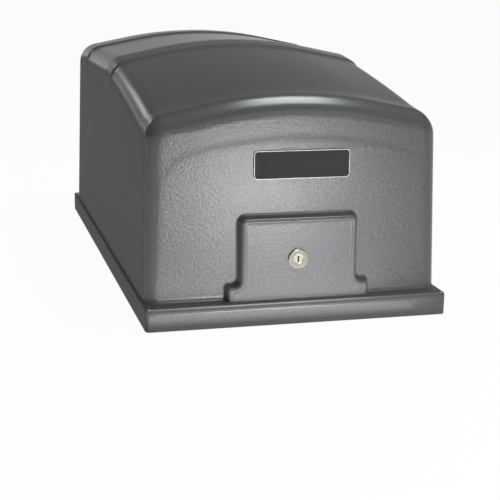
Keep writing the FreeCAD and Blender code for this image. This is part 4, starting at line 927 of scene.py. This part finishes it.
def plate_black():
    finish = Finish("plate_black", Specular_IOR_Level=0.15)
    haze = finish.noise(45, 3)
    clear, hazy = (0.012, 0.012, 0.013, 1), (0.022, 0.022, 0.024, 1)
    finish.shade("Base Color", finish.between(haze, clear, hazy))
    finish.shade("Roughness", 0.45 + 0.15 * haze)
    return finish.material


def satin_metal():
    finish = Finish("satin_metal", Metallic=1.0)
    grain = finish.stretched_noise((0.05, 1, 1), 1500)
    finish.shade("Base Color", finish.between(grain, (0.3, 0.3, 0.3, 1), (0.4, 0.4, 0.4, 1)))
    finish.shade("Roughness", 0.35 + 0.15 * grain)
    return finish.material


def rim_of_plate(mesh):
    """Sinks the plate's field a little inside a narrow rim that takes the second material."""
    rim_width, step_width, sunk = 0.0011, 0.0002, -0.0004
    work = bmesh.new()
    work.from_mesh(mesh)
    front = max(work.faces, key=lambda face: -face.normal.y * face.calc_area())
    for face in bmesh.ops.inset_region(work, faces=[front], thickness=rim_width, depth=0)["faces"]:
        face.material_index = 1
    bmesh.ops.inset_region(work, faces=[front], thickness=step_width, depth=sunk)
    work.to_mesh(mesh)
    work.free()


plate = dress("name_plate", plate_black(), edge=0.0003, segments=2, sharp=60)
plate.data.materials.append(satin_metal())
rim_of_plate(plate.data)


# Cam lock: a nickel-plated zinc body through the panel, with a brighter plug that the key turns.
# Its tail carries a plated tongue, and the wafers in the keyhole are brass, darkened as painted
# shade in the keyhole.

PLUG_FACE, KEYHOLE_HALF = -0.3674, 0.0012
KEYHOLE_MOUTH, KEYHOLE_END = 0.0002, 0.0075


def nickel_plate(name, worn, fresh):
    finish = Finish(name, Metallic=1.0)
    wear = finish.noise(220, 3)
    finish.shade("Base Color", finish.between(wear, worn, fresh))
    finish.shade("Roughness", 0.07 + 0.05 * wear)
    return finish.material


def keyhole_shade_brass():
    """The brass wafers in the keyhole, darkened to near black as painted shade in the keyhole, with
    a random mottle.
    """
    finish = Finish("keyhole_shade_brass", Metallic=1.0)
    shade_mottle = finish.noise(700, 3)
    deep_shade, bare = (0.03, 0.022, 0.012, 1), (0.12, 0.08, 0.03, 1)
    finish.shade("Base Color", finish.between(shade_mottle, deep_shade, bare))
    finish.shade("Roughness", 0.4 + 0.2 * shade_mottle)
    return finish.material


satin_nickel = nickel_plate("satin_nickel", (0.4, 0.37, 0.3, 1), (0.54, 0.51, 0.43, 1))
bright_nickel = nickel_plate("bright_nickel", (0.62, 0.6, 0.54, 1), (0.82, 0.8, 0.74, 1))
plug = dress("lock_plug", bright_nickel, edge=0.0002)
for turned in (dress("lock_body", satin_nickel, edge=0.0005, segments=3), plug):
    turned.modifiers.new("true_faces", "WEIGHTED_NORMAL").weight = 100
plug.data.materials.append(keyhole_shade_brass())
# The faces inside the keyhole take the darkened brass: painted shade in the keyhole.
for face in plug.data.polygons:
    across, deep = abs(face.center.x), face.center.y - PLUG_FACE
    if across < KEYHOLE_HALF and KEYHOLE_MOUTH < deep < KEYHOLE_END:
        face.material_index = 1
dress("lock_tongue", zinc, edge=0.0004)


# Floor and studio: a white floor without an end, and a backdrop that is white low down all round.
# A soft light and a small low one in front, one on the floor before the rim, a strip above and
# a glow from the left rear. The camera stands where the photograph was taken from.


def white_floor():
    far, seen_white = 300.0, 0.96
    mesh = bpy.data.meshes.new("floor")
    work = bmesh.new()
    bmesh.ops.create_grid(work, x_segments=8, y_segments=8, size=far)
    work.to_mesh(mesh)
    work.free()
    floor = bpy.data.objects.new("floor", mesh)
    bpy.context.scene.collection.objects.link(floor)
    finish = Finish("floor_white", Roughness=0.9, Specular_IOR_Level=0.0)
    tone = finish.noise(2, 2)
    finish.shade("Base Color", finish.between(tone, (0.88, 0.88, 0.88, 1), (0.9, 0.9, 0.9, 1)))
    sights = ("Is Camera Ray", "Is Glossy Ray", "Is Transmission Ray")
    camera, glossy, through = (finish.add("ShaderNodeLightPath", {}, {}, see) for see in sights)
    white = finish.add("ShaderNodeEmission", {}, {"Color": (1, 1, 1, 1), "Strength": 1.0})
    lit = Value(finish.surface.outputs["BSDF"])
    shaders = {0: (camera + glossy + through) * seen_white, 1: lit, 2: white}
    mixed = finish.add("ShaderNodeMixShader", {}, shaders)
    finish.fill(finish.tree.nodes["Material Output"].inputs["Surface"], mixed)
    mesh.materials.append(finish.material)


def pale_backdrop():
    """White at floor level all round, as far as the eye goes, fading to a dim grey overhead."""
    world = bpy.data.worlds.new("studio")
    bpy.context.scene.world = world
    world.use_nodes = True
    nodes = Nodes(world.node_tree)
    way = nodes.add("ShaderNodeTexCoord", {}, {}, "Generated")
    height = nodes.add("ShaderNodeSeparateXYZ", {}, {"Vector": way}, "Z")
    levels = ((0.0, 1.0), (0.04, 0.9), (0.1, 0.5), (0.24, 0.22), (0.45, 0.12))
    background = world.node_tree.nodes["Background"]
    nodes.fill(background.inputs["Color"], nodes.steps(height, *levels))


def soft_light(name, place, aim, size, power, colour=(1, 1, 1)):
    lamp = bpy.data.lights.new(name, "AREA")
    lamp.shape = "RECTANGLE"
    lamp.size, lamp.size_y = size
    lamp.energy = power
    lamp.color = colour
    stand = bpy.data.objects.new(name, lamp)
    bpy.context.scene.collection.objects.link(stand)
    stand.location = place
    stand.rotation_euler = (Vector(aim) - Vector(place)).to_track_quat("-Z", "Y").to_euler()


def camera_like_photo():
    place = (-0.455, -1.8476, 0.4832)
    yaw, pitch, roll = 0.2576, 0.2463, -0.0152
    film_width, picture_width, focal_length = 36.0, 500, 1234.0
    level = math.cos(pitch)
    ahead = Vector((math.sin(yaw) * level, math.cos(yaw) * level, -math.sin(pitch)))
    right = Vector((math.cos(yaw), -math.sin(yaw), 0))
    down = ahead.cross(right)
    right, down = (
        math.cos(roll) * right + math.sin(roll) * down,
        -math.sin(roll) * right + math.cos(roll) * down,
    )
    lens = bpy.data.cameras.new("camera")
    lens.sensor_width = film_width
    lens.lens = focal_length / picture_width * film_width
    stand = bpy.data.objects.new("camera", lens)
    bpy.context.scene.collection.objects.link(stand)
    turned = Matrix((right, -down, -ahead)).transposed().to_4x4()
    stand.matrix_world = Matrix.Translation(place) @ turned
    bpy.context.scene.camera = stand


white_floor()
pale_backdrop()
soft_light("front_light", (0.6, -2.2, 1.0), aim=(0, -0.35, 0.15), size=(1.2, 0.8), power=4)
soft_light("low_light", (0.2, -1.3, 0.06), aim=(-0.03, -0.35, 0.16), size=(0.14, 0.12), power=4.6)
soft_light(
    "floor_light", (-0.03, -0.48, 0.006), aim=(-0.03, -0.48, 1), size=(0.4, 0.16), power=0.75,
)
soft_light(
    "top_strip", (0.4, -0.25, 1.7), aim=(0.1, -0.25, 0.3), size=(1.1, 0.5), power=23,
    colour=(0.94, 0.98, 1.0),
)
soft_light(
    "left_glow", (-1.1, 2.2, 1.2), aim=(-0.2, -0.2, 0.28), size=(0.5, 0.4), power=2.4,
    colour=(1.0, 0.96, 0.88),
)
camera_like_photo()
bpy.context.scene.view_settings.view_transform = "Standard"
